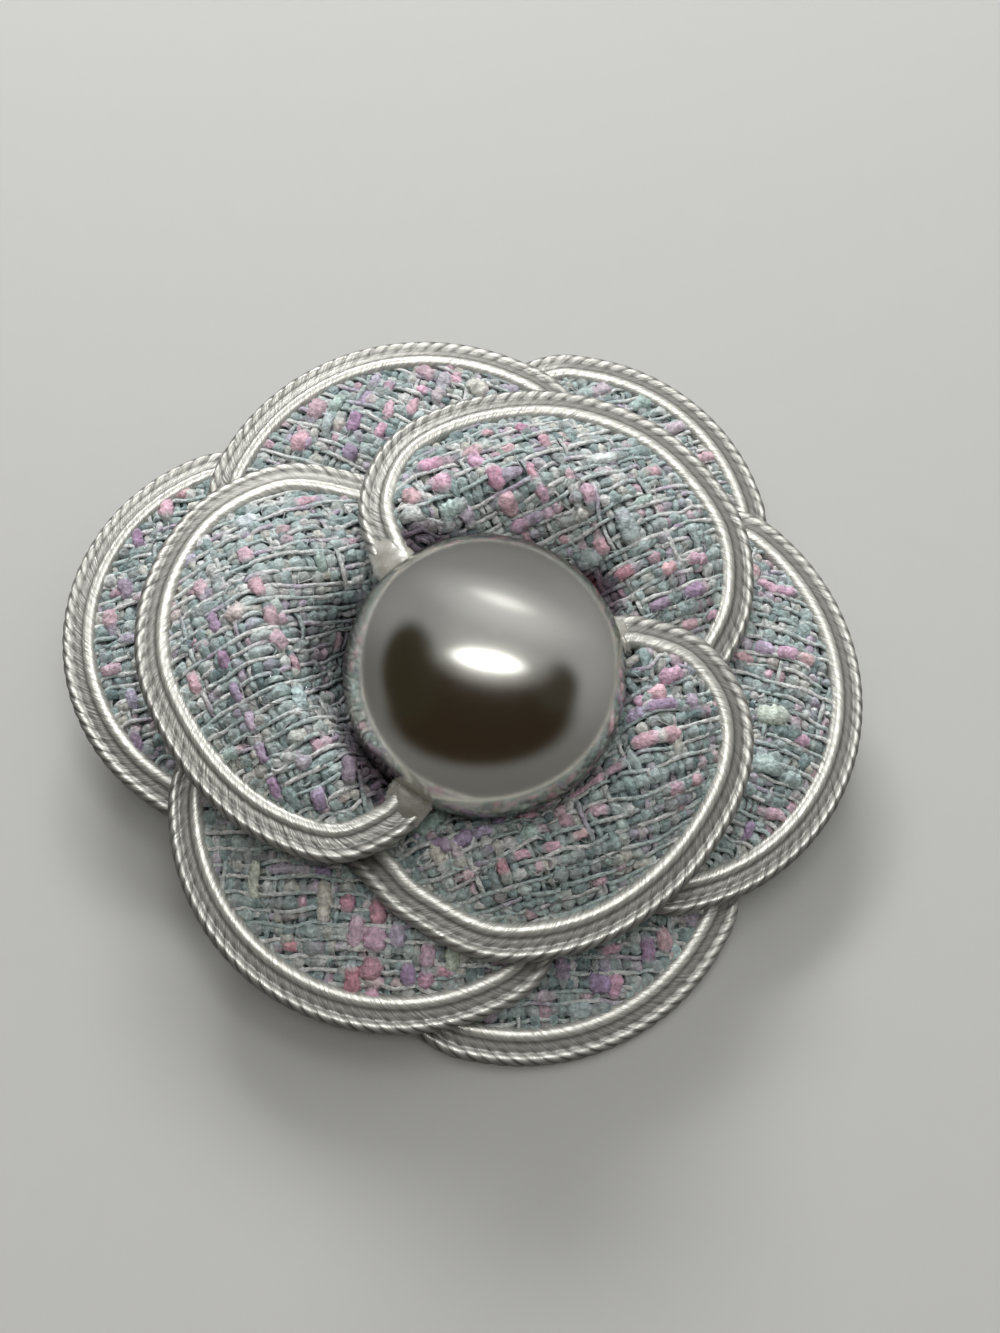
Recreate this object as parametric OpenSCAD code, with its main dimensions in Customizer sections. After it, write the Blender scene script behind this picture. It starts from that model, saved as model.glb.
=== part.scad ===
/* [Pearl] */
// Diameter of the pearl
pearl_d = 20; // [19.6:0.1:20.1]
// Height of the pearl's middle above the backing disc
pearl_z = 15; // [15:0.1:15.4]

/* [Braid] */
// Width of the flat braid with its two ribs
braid_w = 3; // [2.6:0.1:3]
// Thickness of the braid over its ribs
braid_t = 1.6; // [1.2:0.1:1.6]
// How far the braid's face leans outwards, in degrees
braid_tip = 22; // [18:1:24]

/* [Cloth] */
// Thickness of a petal's padded tweed
cloth_t = 1.7; // [1.2:0.1:1.7]
// Gap between the cloth and the braid on its edge
seam_gap = 0.5; // [0.5:0.05:0.7]

/* [Backing] */
// Radius of the backing disc
disc_r = 15; // [14:0.5:16]
// Thickness of the backing disc
disc_t = 1; // [0.8:0.1:1.2]

/* [Brooch pin] */
// Length of the pin's bar
bar_length = 22; // [18:1:22]
// Width of the pin's bar
bar_w = 4; // [3:0.2:4.4]
// Thickness of the pin's bar
bar_t = 0.8; // [0.6:0.1:1]
// Diameter of the needle
needle_d = 0.9; // [0.7:0.1:1.2]
// Diameter of the hinge barrel and of the catch
barrel_d = 2.4; // [2:0.1:2.8]
// Distance from the brooch's middle to the bar
bar_offset = 7.5; // [6:0.5:8]

/* [Lying position] */
// How far the brooch leans forward off its pin, in degrees
lean = 10; // [9:0.5:12]
// Direction of the line that it leans about, which is the needle's
lean_way = 25; // [15:1:35]

/* [Hidden] */

// Where the middle of the disc's face stands: the brooch's box is centred on the origin, and the pin and
// the front edge of the disc touch the ground
stand = [0.8, -3.01, disc_r * sin(lean) + disc_t * cos(lean)];
// Depth of the needle's middle behind the disc, which gives the lean
needle_drop = ((disc_r + bar_offset) * sin(lean) - barrel_d / 2) / cos(lean);

// Gap between the pearl and the cloth round it
pearl_gap = 0.3;
// Sections along a petal's edge, and along a braid
cloth_steps = 16;
braid_steps = 34;
// Sections from a petal's edge to its foot
depth_steps = 7;
// Distance of the petals' feet from the brooch's middle
foot_reach = 5;
// A hidden end of a middle or outer braid turns in on this radius, and then runs straight for this length
turn_r = 4;
tuck_length = 6;
// The straight run heads for the petal's foot, this many degrees outside of it
tuck_aim = 29;

// Inner petals: a row for each place along the edge, from the end on the pearl to the tucked end.
// Columns: bearing from the brooch's middle in degrees, reach in mm, height in mm
INNER_TOP = [
    [127, 10.8, 13.6], [120, 15.9, 12.6], [107, 20.0, 11.6], [90, 22.5, 10.8], [73, 24.3, 10.2],
    [56, 24.8, 9.8], [38, 23.7, 9.4], [24, 21.2, 8.9], [13, 17.9, 8.5], [6, 14.8, 8.1]];
INNER_RIGHT = [
    [20, 11.8, 13.6], [10, 15.7, 12.8], [-4, 18.3, 11.8], [-20, 19.0, 11.0], [-42, 18.8, 10.2],
    [-64, 18.6, 9.8], [-86, 17.9, 9.4], [-106, 15.9, 9.0], [-118, 14.6, 8.4], [-126, 14.0, 7.9]];
INNER_LEFT = [
    [-117, 12.7, 13.5], [-132, 15.7, 12.6], [-149, 18.5, 11.6], [-166, 21.0, 10.9], [-183, 23.6, 10.3],
    [-198, 24.8, 9.9], [-213, 24.7, 9.6], [-228, 22.8, 9.1], [-240, 19.2, 8.6], [-248, 16.2, 8.2]];

// Middle and outer petals: the edge is an arc, and both its ends tuck in under the petals above.
// Columns: bearing and reach of the arc's middle, radius, arc from, arc to, foot from, foot to
MIDDLE_TOP = [106, 13.5, 16.7, 161, 58, 134, 82];
MIDDLE_RIGHT = [11, 12.4, 16.2, 53, -79, 34, -40];
MIDDLE_LEFT = [-129, 9.0, 15.6, -57, -182, -84, -160];
OUTER_TOP = [65, 17.2, 15.2, 92, 11, 76, 44];
OUTER_RIGHT = [-66, 8.7, 16.4, -21, -108, -38, -92];
OUTER_LEFT = [156, 17.1, 14.9, 240, 113, 190, 140];

// Layers. Columns: height of the edge, of its tucked ends and of the foot, puff, and how far the brow reaches
// from the edge towards the foot before the cloth falls. An inner petal's edge has its heights in its own rows
INNER = [0, 0, 5.0, 2.0, 0.3];
MIDDLE = [5.5, 4.8, 3.0, 0.8, 0.15];
OUTER = [2.0, 1.9, 1.0, 0.5, 0.15];

// Every petal. Columns: name, points of its edge, bearings of its foot from and to, layer
PETALS = [
    ["inner_top", places(INNER_TOP), 118, 30, INNER],
    ["inner_right", places(INNER_RIGHT), 10, -104, INNER],
    ["inner_left", places(INNER_LEFT), -133, -232, INNER],
    ["middle_top", arc_edge(MIDDLE_TOP, MIDDLE), MIDDLE_TOP[5], MIDDLE_TOP[6], MIDDLE],
    ["middle_right", arc_edge(MIDDLE_RIGHT, MIDDLE), MIDDLE_RIGHT[5], MIDDLE_RIGHT[6], MIDDLE],
    ["middle_left", arc_edge(MIDDLE_LEFT, MIDDLE), MIDDLE_LEFT[5], MIDDLE_LEFT[6], MIDDLE],
    ["outer_top", arc_edge(OUTER_TOP, OUTER), OUTER_TOP[5], OUTER_TOP[6], OUTER],
    ["outer_right", arc_edge(OUTER_RIGHT, OUTER), OUTER_RIGHT[5], OUTER_RIGHT[6], OUTER],
    ["outer_left", arc_edge(OUTER_LEFT, OUTER), OUTER_LEFT[5], OUTER_LEFT[6], OUTER]];

// Folds and dents of the cloth. Columns: petal, place along the edge, place from the edge to the foot,
// spread along, spread across, rise in mm
FOLDS = [
    ["inner_top", 0.15, 0.38, 0.14, 0.24, -0.6],
    ["inner_top", 0.45, 0.35, 0.25, 0.20, 0.5],
    ["inner_right", 0.40, 0.42, 0.22, 0.22, 0.5],
    ["inner_right", 0.14, 0.30, 0.12, 0.22, -0.5],
    ["inner_left", 0.50, 0.28, 0.28, 0.18, 0.6],
    ["inner_left", 0.84, 0.30, 0.12, 0.24, -0.6],
    ["middle_left", 0.62, 0.18, 0.18, 0.14, 0.4],
    ["middle_right", 0.50, 0.15, 0.20, 0.12, 0.3],
    ["outer_left", 0.55, 0.16, 0.22, 0.14, 0.3]];

function mix(a, b, t) = a + (b - a) * t;
function unit(v) = v / norm(v);
function ease(t) = let(c = min(max(t, 0), 1)) c * c * (3 - 2 * c);
function place(bearing, reach, height) = [reach * cos(bearing), reach * sin(bearing), height];
function places(rows) = [for (r = rows) place(r[0], r[1], r[2])];
function bearing(v) = atan2(v[1], v[0]);
function reversed(p) = [for (i = [len(p) - 1 : -1 : 0]) p[i]];

// Edge of a middle or outer petal
function arc_edge(row, layer) =
    let(middle = place(row[0], row[1], 0), steps = 10)
    concat(
        reversed(tucked_end(row, layer, middle, row[3], row[5], 1)),
        [for (i = [0 : steps]) middle + place(mix(row[3], row[4], i / steps), row[2], layer[0])],
        tucked_end(row, layer, middle, row[4], row[6], -1));
function tucked_end(row, layer, middle, from, foot, way) =
    let(hub = middle + place(from, row[2] - turn_r, 0),
        aim = place(foot + way * tuck_aim, foot_reach, 0) - hub,
        to = bearing(aim) - way * acos(turn_r / norm(aim)),
        turn = (way * (to - from) % 360 + 360) % 360,
        halves = [0.5, 1],
        turned = [for (k = halves)
            hub + place(from + way * turn * k, turn_r, mix(layer[0], layer[1], k * 0.6))])
    concat(turned, [for (k = halves)
        turned[1] + place(from + way * (turn + 90), tuck_length * k, (layer[1] - layer[0]) * 0.4 * k)]);

// Point at u, from 0 to 1, on a smooth curve through the points p
function on_curve(p, u) =
    let(last = len(p) - 1,
        i = min(floor(u * last), last - 1),
        f = u * last - i,
        a = p[max(i - 1, 0)], b = p[i], c = p[i + 1], d = p[min(i + 2, last)])
    (2 * b + (c - a) * f + (2 * a - 5 * b + 4 * c - d) * f * f + (3 * b - a - 3 * c + d) * f * f * f) / 2;
function along(p, u) = unit(on_curve(p, min(u + 0.01, 1)) - on_curve(p, max(u - 0.01, 0)));

// Point of the braid's section at u: w across its face from the cloth outwards, h up through it
function braid_point(p, u, w, h) =
    let(t = along(p, u), out = unit([-t[1], t[0], 0]), up = [0, 0, 1])
    on_curve(p, u)
        + w * (out * cos(braid_tip) - up * sin(braid_tip))
        + h * (up * cos(braid_tip) + out * sin(braid_tip));

// The middle of the cloth keeps clear of the pearl
function clear_of_pearl(q) =
    let(c = [0, 0, pearl_z], keep = pearl_d / 2 + pearl_gap + cloth_t / 2, d = norm(q - c))
    d < keep ? c + (q - c) * keep / d : q;

// Rise of the folds at a place on a petal
function bump(x) = abs(x) < 1 ? (1 + cos(180 * x)) / 2 : 0;
function fold(f, u, t) = f[5] * bump((u - f[1]) / f[3]) * bump((t - f[2]) / f[4]);
function folds(name, u, t) = [for (f = FOLDS) f[0] == name ? fold(f, u, t) : 0] * [for (f = FOLDS) 1];

// Middle of a petal's cloth: u along its edge, t from the edge to the foot
function cloth_point(petal, u, t) =
    let(layer = petal[4],
        edge = braid_point(petal[1], u, -braid_w / 2 - seam_gap, -0.2),
        foot = place(mix(petal[2], petal[3], u), foot_reach, layer[2]),
        flat = mix(edge, foot, t),
        fall = ease((t - layer[4]) / 0.6),
        puff = layer[3] * sin(180 * min(t / 0.75, 1)) * sin(180 * u),
        height = mix(edge[2], foot[2], fall) + puff + folds(petal[0], u, t))
    clear_of_pearl([flat[0], flat[1], height]);
function cloth_normal(petal, u, t) =
    unit(cross(cloth_point(petal, u, min(t + 0.02, 1)) - cloth_point(petal, u, max(t - 0.02, 0)),
        cloth_point(petal, min(u + 0.01, 1), t) - cloth_point(petal, max(u - 0.01, 0), t)));
function cloth_side(petal, u, t, side) = cloth_point(petal, u, t) + cloth_normal(petal, u, t) * side * cloth_t / 2;

// Closed skin over rings of points, each ring given from one rim over the top and back underneath
module skin(rings) {
    m = len(rings[0]);
    last = len(rings) - 1;
    sides = [for (i = [0 : last - 1], j = [0 : m - 1])
        let(a = i * m + j, b = i * m + (j + 1) % m)
        each [[a, b, b + m], [a, b + m, a + m]]];
    ends = [for (i = [0, last], j = [0 : m / 2 - 2])
        let(a = i * m + j, b = a + 1, d = i * m + m - 2 - j, c = d + 1)
        each i == 0 ? [[a, c, d], [a, d, b]] : [[a, b, d], [a, d, c]]];
    polyhedron([for (r = rings) each r], concat(sides, ends));
}

module petal(row) {
    color([0.62, 0.72, 0.74]) lying() skin([for (i = [0 : cloth_steps])
        concat(
            [for (j = [depth_steps : -1 : 0]) cloth_side(row, i / cloth_steps, j / depth_steps, 1)],
            [for (j = [0 : depth_steps]) cloth_side(row, i / cloth_steps, j / depth_steps, -1)])]);
}

module braid(row) {
    w = braid_w / 2;
    h = braid_t / 2;
    rib = 0.55 * w;
    section = [[-w, 0], [-rib, h], [0, h / 2], [rib, h], [w, 0], [rib, -h], [0, -h / 2], [-rib, -h]];
    color([0.82, 0.81, 0.76]) lying() skin([for (i = [0 : braid_steps])
        [for (s = section) braid_point(row[1], i / braid_steps, s[0], s[1])]]);
}

module pearl() {
    color([0.70, 0.69, 0.68]) lying() translate([0, 0, pearl_z]) sphere(d = pearl_d, $fn = 96);
}

module backing_disc() {
    color([0.80, 0.80, 0.79]) lying() translate([0, 0, -disc_t]) cylinder(h = disc_t, r = disc_r, $fn = 96);
}

// Bar, hinge barrel, needle and catch in one piece, drawn with the disc's back at zero and depth upwards
module brooch_pin() {
    barrel_w = 2.6;
    post_w = 1.6;
    barrel_at = bar_length / 2 - 2;
    color([0.75, 0.75, 0.76]) lying() rotate(lean_way) translate([0, bar_offset, -disc_t]) mirror([0, 0, 1]) {
        translate([-bar_length / 2, -bar_w / 2, 0]) cube([bar_length, bar_w, bar_t]);
        for (side = [-1, 1]) translate([side * barrel_at, 0, 0]) {
            translate([-barrel_w / 2, -post_w / 2, 0]) cube([barrel_w, post_w, needle_drop]);
            translate([-barrel_w / 2, 0, needle_drop]) rotate([0, 90, 0])
                cylinder(h = barrel_w, d = barrel_d, $fn = 48);
        }
        translate([-barrel_at, 0, needle_drop]) rotate([0, 90, 0])
            cylinder(h = 2 * barrel_at, d = needle_d, $fn = 32);
    }
}

// The brooch leans forward off its pin
module lying() {
    translate(stand) rotate(lean_way) rotate([lean, 0, 0]) rotate(-lean_way) children();
}

for (row = PETALS) {
    petal(row);
    braid(row);
}
pearl();
backing_disc();
brooch_pin();
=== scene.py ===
from collections import namedtuple

import bpy
import numpy as np
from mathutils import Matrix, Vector
from mathutils.bvhtree import BVHTree


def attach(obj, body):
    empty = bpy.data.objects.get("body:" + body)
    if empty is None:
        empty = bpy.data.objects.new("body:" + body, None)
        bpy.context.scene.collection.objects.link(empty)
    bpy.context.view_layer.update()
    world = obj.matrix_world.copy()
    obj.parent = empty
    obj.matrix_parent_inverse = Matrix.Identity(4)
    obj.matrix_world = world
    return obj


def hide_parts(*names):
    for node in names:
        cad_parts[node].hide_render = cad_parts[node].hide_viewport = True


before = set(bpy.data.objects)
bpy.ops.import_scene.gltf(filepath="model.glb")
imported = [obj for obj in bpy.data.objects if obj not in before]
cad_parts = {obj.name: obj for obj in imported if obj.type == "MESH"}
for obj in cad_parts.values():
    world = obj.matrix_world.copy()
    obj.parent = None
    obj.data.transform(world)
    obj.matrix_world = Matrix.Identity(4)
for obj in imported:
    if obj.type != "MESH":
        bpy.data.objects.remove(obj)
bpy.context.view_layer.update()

# A camellia brooch: nine padded tweed petals, each edged with a two-ribbed braid, round one large pearl.
# It lies face up, leaning forward on its pin. Lengths are in millimetres and angles in degrees, and
# lying() turns points of the brooch into metres where it lies.

MM = 0.001
PEARL_D, PEARL_Z, PEARL_GAP = 20, 15, 0.3
BRAID_W, BRAID_TIP = 3, 22
CLOTH_T, SEAM_GAP = 1.7, 0.5
DISC_R, DISC_T = 15, 1
LEAN, LEAN_WAY = 10, 25
# Reach of the petals' feet, radius of an arc's hidden turn, its part of the drop, length of the straight run
# after it, and how far beside the foot the run aims
FOOT_REACH, TURN_R, TURN_DROP, TUCK_LENGTH, TUCK_AIM = 5, 4, 0.6, 6, 29
STAND = np.array([0.8, -3.01, DISC_R * np.sin(np.radians(LEAN)) + DISC_T * np.cos(np.radians(LEAN))])

# The camera's place from the middle of the disc's face, its tilt, its lens and the picture it makes
CAMERA_OFFSET = np.array([2.16, -60.47, 131.81])
CAMERA_TILT = 26.7
LENS, SENSOR = 49.96, 36
FRAME_W, FRAME_H = 1000, 1333


def make_camera():
    bpy.ops.object.camera_add(location=(STAND + CAMERA_OFFSET) * MM, rotation=(np.radians(CAMERA_TILT), 0, 0))
    camera = bpy.context.object
    camera.data.lens = LENS
    camera.data.sensor_width = SENSOR
    camera.data.sensor_fit = "AUTO"
    camera.data.clip_start = 0.005
    bpy.context.scene.camera = camera


make_camera()

# Shapes

Layer = namedtuple("Layer", "edge tucked foot puff brow")
Petal = namedtuple("Petal", "name edge foot_from foot_to layer weave woven_to")


def mix(a, b, t):
    return a + (b - a) * t


def ease(t):
    """A soft step from 0 to 1."""
    c = np.clip(t, 0, 1)
    return c * c * (3 - 2 * c)


def unit(v):
    return v / np.maximum(np.linalg.norm(v, axis=-1, keepdims=True), 1e-12)


def place(bearing, reach, height=0.0):
    angle = np.radians(bearing)
    x, y, z = np.broadcast_arrays(reach * np.cos(angle), reach * np.sin(angle), height)
    return np.stack([x, y, z], axis=-1).astype(float)


def bearing(v):
    return np.degrees(np.arctan2(v[1], v[0]))


def turning(axis, degrees):
    """Matrix of a turn about the x or the z axis."""
    c, s = np.cos(np.radians(degrees)), np.sin(np.radians(degrees))
    if axis == "x":
        return np.array([[1, 0, 0], [0, c, -s], [0, s, c]])
    return np.array([[c, -s, 0], [s, c, 0], [0, 0, 1]])


CAMERA_RIGHT, CAMERA_UP, CAMERA_BACK = turning("x", CAMERA_TILT).T
LYING = turning("z", LEAN_WAY) @ turning("x", LEAN) @ turning("z", -LEAN_WAY)


def lying(points):
    return (np.asarray(points) @ LYING.T + STAND) * MM


# Inner petals' edges: bearing, reach and height of each place, from the end on the pearl to the tucked end
INNER_TOP = [
    [127, 10.8, 13.6], [120, 15.9, 12.6], [107, 20.0, 11.6], [90, 22.5, 10.8], [73, 24.3, 10.2],
    [56, 24.8, 9.8], [38, 23.7, 9.4], [24, 21.2, 8.9], [13, 17.9, 8.5], [6, 14.8, 8.1]]
INNER_RIGHT = [
    [20, 11.8, 13.6], [10, 15.7, 12.8], [-4, 18.3, 11.8], [-20, 19.0, 11.0], [-42, 18.8, 10.2],
    [-64, 18.6, 9.8], [-86, 17.9, 9.4], [-106, 15.9, 9.0], [-118, 14.6, 8.4], [-126, 14.0, 7.9]]
INNER_LEFT = [
    [-117, 12.7, 13.5], [-132, 15.7, 12.6], [-149, 18.5, 11.6], [-166, 21.0, 10.9], [-183, 23.6, 10.3],
    [-198, 24.8, 9.9], [-213, 24.7, 9.6], [-228, 22.8, 9.1], [-240, 19.2, 8.6], [-248, 16.2, 8.2]]

# Each layer's heights of the edge, its tucked ends and the foot, the puff's rise, and where the brow starts
INNER = Layer(0, 0, 5.0, 2.0, 0.3)
MIDDLE = Layer(5.5, 4.8, 3.0, 0.8, 0.15)
OUTER = Layer(2.0, 1.9, 1.0, 0.5, 0.15)
# Lengths of the brow's fall and of the puff, as parts of the way to the foot
FALL, PUFF = 0.6, 0.75
# How far towards the foot the tweed is woven. Deeper down the petals above hide it
INNER_WOVEN, ARC_WOVEN = 0.9, 0.62


def tucked_end(layer, middle, radius, start, foot, way):
    """Hidden end of an arc: it turns in, then runs straight under the petals above."""
    hub = middle + place(start, radius - TURN_R)
    aim = place(foot + way * TUCK_AIM, FOOT_REACH) - hub
    to = bearing(aim) - way * np.degrees(np.arccos(TURN_R / np.linalg.norm(aim[:2])))
    turn = (way * (to - start)) % 360
    drop = layer.tucked - layer.edge
    turned = [hub + place(start + way * turn * k, TURN_R, layer.edge + drop * TURN_DROP * k)
              for k in (0.5, 1)]
    straight = start + way * (turn + 90)
    run = [turned[1] + place(straight, TUCK_LENGTH * k, drop * (1 - TURN_DROP) * k) for k in (0.5, 1)]
    return turned + run


def inner_petal(name, rows, foot_from, foot_to, weave):
    edge = np.array([place(*row) for row in rows])
    return Petal(name, edge, foot_from, foot_to, INNER, weave, INNER_WOVEN)


def arc_petal(name, layer, at, reach, radius, arc_from, arc_to, foot_from, foot_to, weave):
    middle = place(at, reach)
    arc = [middle + place(mix(arc_from, arc_to, k / 10), radius, layer.edge) for k in range(11)]
    start = tucked_end(layer, middle, radius, arc_from, foot_from, 1)
    end = tucked_end(layer, middle, radius, arc_to, foot_to, -1)
    edge = np.array(start[::-1] + arc + end)
    return Petal(name, edge, foot_from, foot_to, layer, weave, ARC_WOVEN)


# Each petal ends with the bearings of its foot's two ends and of its thick rows of yarn. Before them, an arc
# petal has the bearing and reach of its arc's middle, the radius, and the arc's first and last bearings
PETALS = [
    inner_petal("inner_top", INNER_TOP, 118, 30, 27),
    inner_petal("inner_right", INNER_RIGHT, 10, -104, 20),
    inner_petal("inner_left", INNER_LEFT, -133, -232, 22),
    arc_petal("middle_top", MIDDLE, 106, 13.5, 16.7, 161, 58, 134, 82, -19),
    arc_petal("middle_right", MIDDLE, 11, 12.4, 16.2, 53, -79, 34, -40, -15),
    arc_petal("middle_left", MIDDLE, -129, 9.0, 15.6, -57, -182, -84, -160, -2),
    arc_petal("outer_top", OUTER, 65, 17.2, 15.2, 92, 11, 76, 44, 20),
    arc_petal("outer_right", OUTER, -66, 8.7, 16.4, -21, -108, -38, -92, 4),
    arc_petal("outer_left", OUTER, 156, 17.1, 14.9, 240, 113, 190, 140, 12)]

# Folds and dents of the cloth. Columns: petal, place along the edge and to the foot, spread each way, rise
FOLDS = [
    ["inner_top", 0.15, 0.38, 0.14, 0.24, -0.6],
    ["inner_top", 0.45, 0.35, 0.25, 0.20, 0.5],
    ["inner_right", 0.40, 0.42, 0.22, 0.22, 0.5],
    ["inner_right", 0.14, 0.30, 0.12, 0.22, -0.5],
    ["inner_left", 0.50, 0.28, 0.28, 0.18, 0.6],
    ["inner_left", 0.84, 0.30, 0.12, 0.24, -0.6],
    ["middle_left", 0.62, 0.18, 0.18, 0.14, 0.4],
    ["middle_right", 0.50, 0.15, 0.20, 0.12, 0.3],
    ["outer_left", 0.55, 0.16, 0.22, 0.14, 0.3],
    ["inner_left", 0.45, 0.44, 0.42, 0.24, 1.1],
    ["inner_left", 0.50, 0.78, 0.46, 0.26, -1.7],
    ["inner_top", 0.62, 0.62, 0.22, 0.26, -0.7]]


def on_curve(p, u):
    """Points at u, from 0 to 1, on a smooth curve through the points p."""
    u = np.clip(np.asarray(u, float), 0, 1)
    last = len(p) - 1
    i = np.minimum((u * last).astype(int), last - 1)
    f = (u * last - i)[..., None]
    a, b, c, d = p[np.maximum(i - 1, 0)], p[i], p[i + 1], p[np.minimum(i + 2, last)]
    return (2 * b + (c - a) * f + (2 * a - 5 * b + 4 * c - d) * f**2 + (3 * b - a - 3 * c + d) * f**3) / 2


def distances(line):
    """How far along a line each of its points lies."""
    return np.r_[0, np.cumsum(np.linalg.norm(np.diff(line, axis=0), axis=1))]


def braid_point(p, u, w, h):
    """Point of a braid's section: w across its face from the cloth outwards, h up through it."""
    u, w, h = np.broadcast_arrays(u, w, h)
    way = on_curve(p, u + 0.01) - on_curve(p, u - 0.01)
    out = unit(np.stack([-way[..., 1], way[..., 0], 0 * u], axis=-1))
    up = np.array([0.0, 0.0, 1.0])
    c, s = np.cos(np.radians(BRAID_TIP)), np.sin(np.radians(BRAID_TIP))
    return on_curve(p, u) + w[..., None] * (out * c - up * s) + h[..., None] * (up * c + out * s)


def bump(x):
    """A soft rise from 0 at -1 to 1 at 0 and back to 0 at 1."""
    return np.where(np.abs(x) < 1, (1 + np.cos(np.pi * np.clip(x, -1, 1))) / 2, 0)


def clear_of_pearl(q):
    centre = np.array([0, 0, PEARL_Z])
    keep = PEARL_D / 2 + PEARL_GAP + CLOTH_T / 2
    d = np.linalg.norm(q - centre, axis=-1, keepdims=True)
    return np.where(d < keep, centre + (q - centre) * keep / np.maximum(d, 1e-9), q)


# The cloth goes on past its seam into the braid, to this place on the braid's section
TUCK_W, TUCK_H, TUCK_STEP = -1.0, -0.75, 0.06
# and is pulled down beside it by the seam
SEAM_DIP, SEAM_SPREAD = 0.38, 0.13


def cloth(petal, u, t):
    """Middle of a petal's padding: u along its edge, t from the seam at 0 to the foot at 1, or below 0 inside
    the seam."""
    u, t = np.broadcast_arrays(np.asarray(u, float), np.asarray(t, float))
    layer = petal.layer
    inside = np.maximum(t, 0)
    edge = braid_point(petal.edge, u, -BRAID_W / 2 - SEAM_GAP, -0.2)
    foot = place(mix(petal.foot_from, petal.foot_to, u), FOOT_REACH, layer.foot)
    flat = mix(edge, foot, inside[..., None])
    fall = ease((inside - layer.brow) / FALL)
    puff = layer.puff * np.sin(np.pi * np.minimum(inside / PUFF, 1)) * np.sin(np.pi * u)
    folds = sum(rise * bump((u - at_u) / spread_u) * bump((inside - at_t) / spread_t)
                for name, at_u, at_t, spread_u, spread_t, rise in FOLDS if name == petal.name)
    pulled = SEAM_DIP * (1 - ease(inside / SEAM_SPREAD))
    height = mix(edge[..., 2], foot[..., 2], fall) + puff + folds - pulled
    over = clear_of_pearl(np.stack([flat[..., 0], flat[..., 1], height], axis=-1))
    tucked = braid_point(petal.edge, u, TUCK_W, TUCK_H)
    return mix(over, tucked, np.clip(-t / TUCK_STEP, 0, 1)[..., None])


def grid_normals(points):
    """Upward normals of a grid of points whose first axis runs along the edge and the second to the foot."""
    along = np.gradient(points, axis=0)
    across = np.gradient(points, axis=1)
    return unit(np.cross(across, along))


class Skin:
    """Points and faces of one piece while it is put together, in millimetres of the brooch."""

    def __init__(self):
        self.points, self.dyes, self.corners, self.sizes, self.uvs, self.finishes = [], [], [], [], [], []
        self.count = 0

    def add_points(self, points, dye):
        points = np.asarray(points, float).reshape(-1, 3)
        self.points.append(points)
        self.dyes.append(np.broadcast_to(dye, (len(points), 3)))
        self.count += len(points)
        return self.count - len(points)

    def add_faces(self, faces, uvs, finish):
        """faces is an array with a row of corners for each face, uvs has a pair for each corner."""
        faces = np.asarray(faces)
        self.corners.append(faces.ravel())
        self.sizes.append(np.full(len(faces), faces.shape[1]))
        self.uvs.append(np.asarray(uvs, float).reshape(-1, 2))
        self.finishes.append(np.broadcast_to(finish, len(faces)))

    def piece(self, name, materials):
        mesh = bpy.data.meshes.new(name)
        corners, sizes = np.concatenate(self.corners), np.concatenate(self.sizes)
        mesh.vertices.add(self.count)
        mesh.vertices.foreach_set("co", lying(np.concatenate(self.points)).astype(np.float32).ravel())
        mesh.loops.add(len(corners))
        mesh.loops.foreach_set("vertex_index", corners.astype(np.int32))
        mesh.polygons.add(len(sizes))
        mesh.polygons.foreach_set("loop_start", (np.cumsum(sizes) - sizes).astype(np.int32))
        mesh.polygons.foreach_set("material_index", np.concatenate(self.finishes).astype(np.int32))
        layer = mesh.uv_layers.new(name="thread")
        layer.data.foreach_set("uv", np.concatenate(self.uvs).astype(np.float32).ravel())
        # Each point's colour: its dye, and the shade painted into it
        dyes = np.concatenate(self.dyes)
        dye = mesh.attributes.new("dye", "FLOAT_COLOR", "POINT")
        dye.data.foreach_set("color", np.c_[dyes, np.ones(len(dyes))].astype(np.float32).ravel())
        mesh.update(calc_edges=True)
        mesh.shade_smooth()
        for material in materials:
            mesh.materials.append(material)
        made = bpy.data.objects.new(name, mesh)
        bpy.context.collection.objects.link(made)
        return made


def wrapped(stations, count):
    """Quads round a row of rings: each one's station, its place round the ring and its corners."""
    i, k = np.meshgrid(np.arange(stations - 1), np.arange(count), indexing="ij")
    a, b = i * count + k, i * count + (k + 1) % count
    return i, k, np.stack([a, b, b + count, a + count], axis=-1).reshape(-1, 4)


def add_tube(skin, centres, side, up, wide, tall, dye, finish, sides, uneven=None):
    """A closed strand through the centres. side and up are its section's directions, wide and tall its half
    sizes. uneven has a value for the surface and one for the colour at each of its points."""
    angle = (np.arange(sides) + (0.5 if sides == 4 else 0)) / sides * 2 * np.pi
    ring = (side[:, None] * (wide[:, None] * np.cos(angle))[..., None]
            + up[:, None] * (tall[:, None] * np.sin(angle))[..., None])
    colour = np.repeat(dye, sides, axis=0)
    if uneven is not None:
        ring = ring * (1 + LUMPS * uneven[0])[..., None]
        colour = colour * (1 + MOTTLE * uneven[1]).reshape(-1, 1)
    first = skin.add_points(centres[:, None] + ring, colour)
    i, k, faces = wrapped(len(centres), sides)
    length = distances(centres)
    low, high = length[i], length[i + 1]
    uvs = np.stack([low, k / sides, high, k / sides, high, (k + 1) / sides, low, (k + 1) / sides], axis=-1)
    skin.add_faces(faces[:, [0, 3, 2, 1]] + first, uvs, finish)
    start = np.arange(sides) + first
    for face, at in ((start, 0), (start[::-1] + (len(centres) - 1) * sides, length[-1])):
        skin.add_faces([face], np.c_[np.full(sides, at), angle], finish)


# Colours, given as they show on a screen


def paint(red, green, blue):
    value = np.array([red, green, blue]) / 255
    return np.where(value < 0.04045, value / 12.92, ((value + 0.055) / 1.055) ** 2.4)


# violet, maroon and deep_shade are no dyes: they are the colours of painted shade by the pearl and in folds
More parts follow.
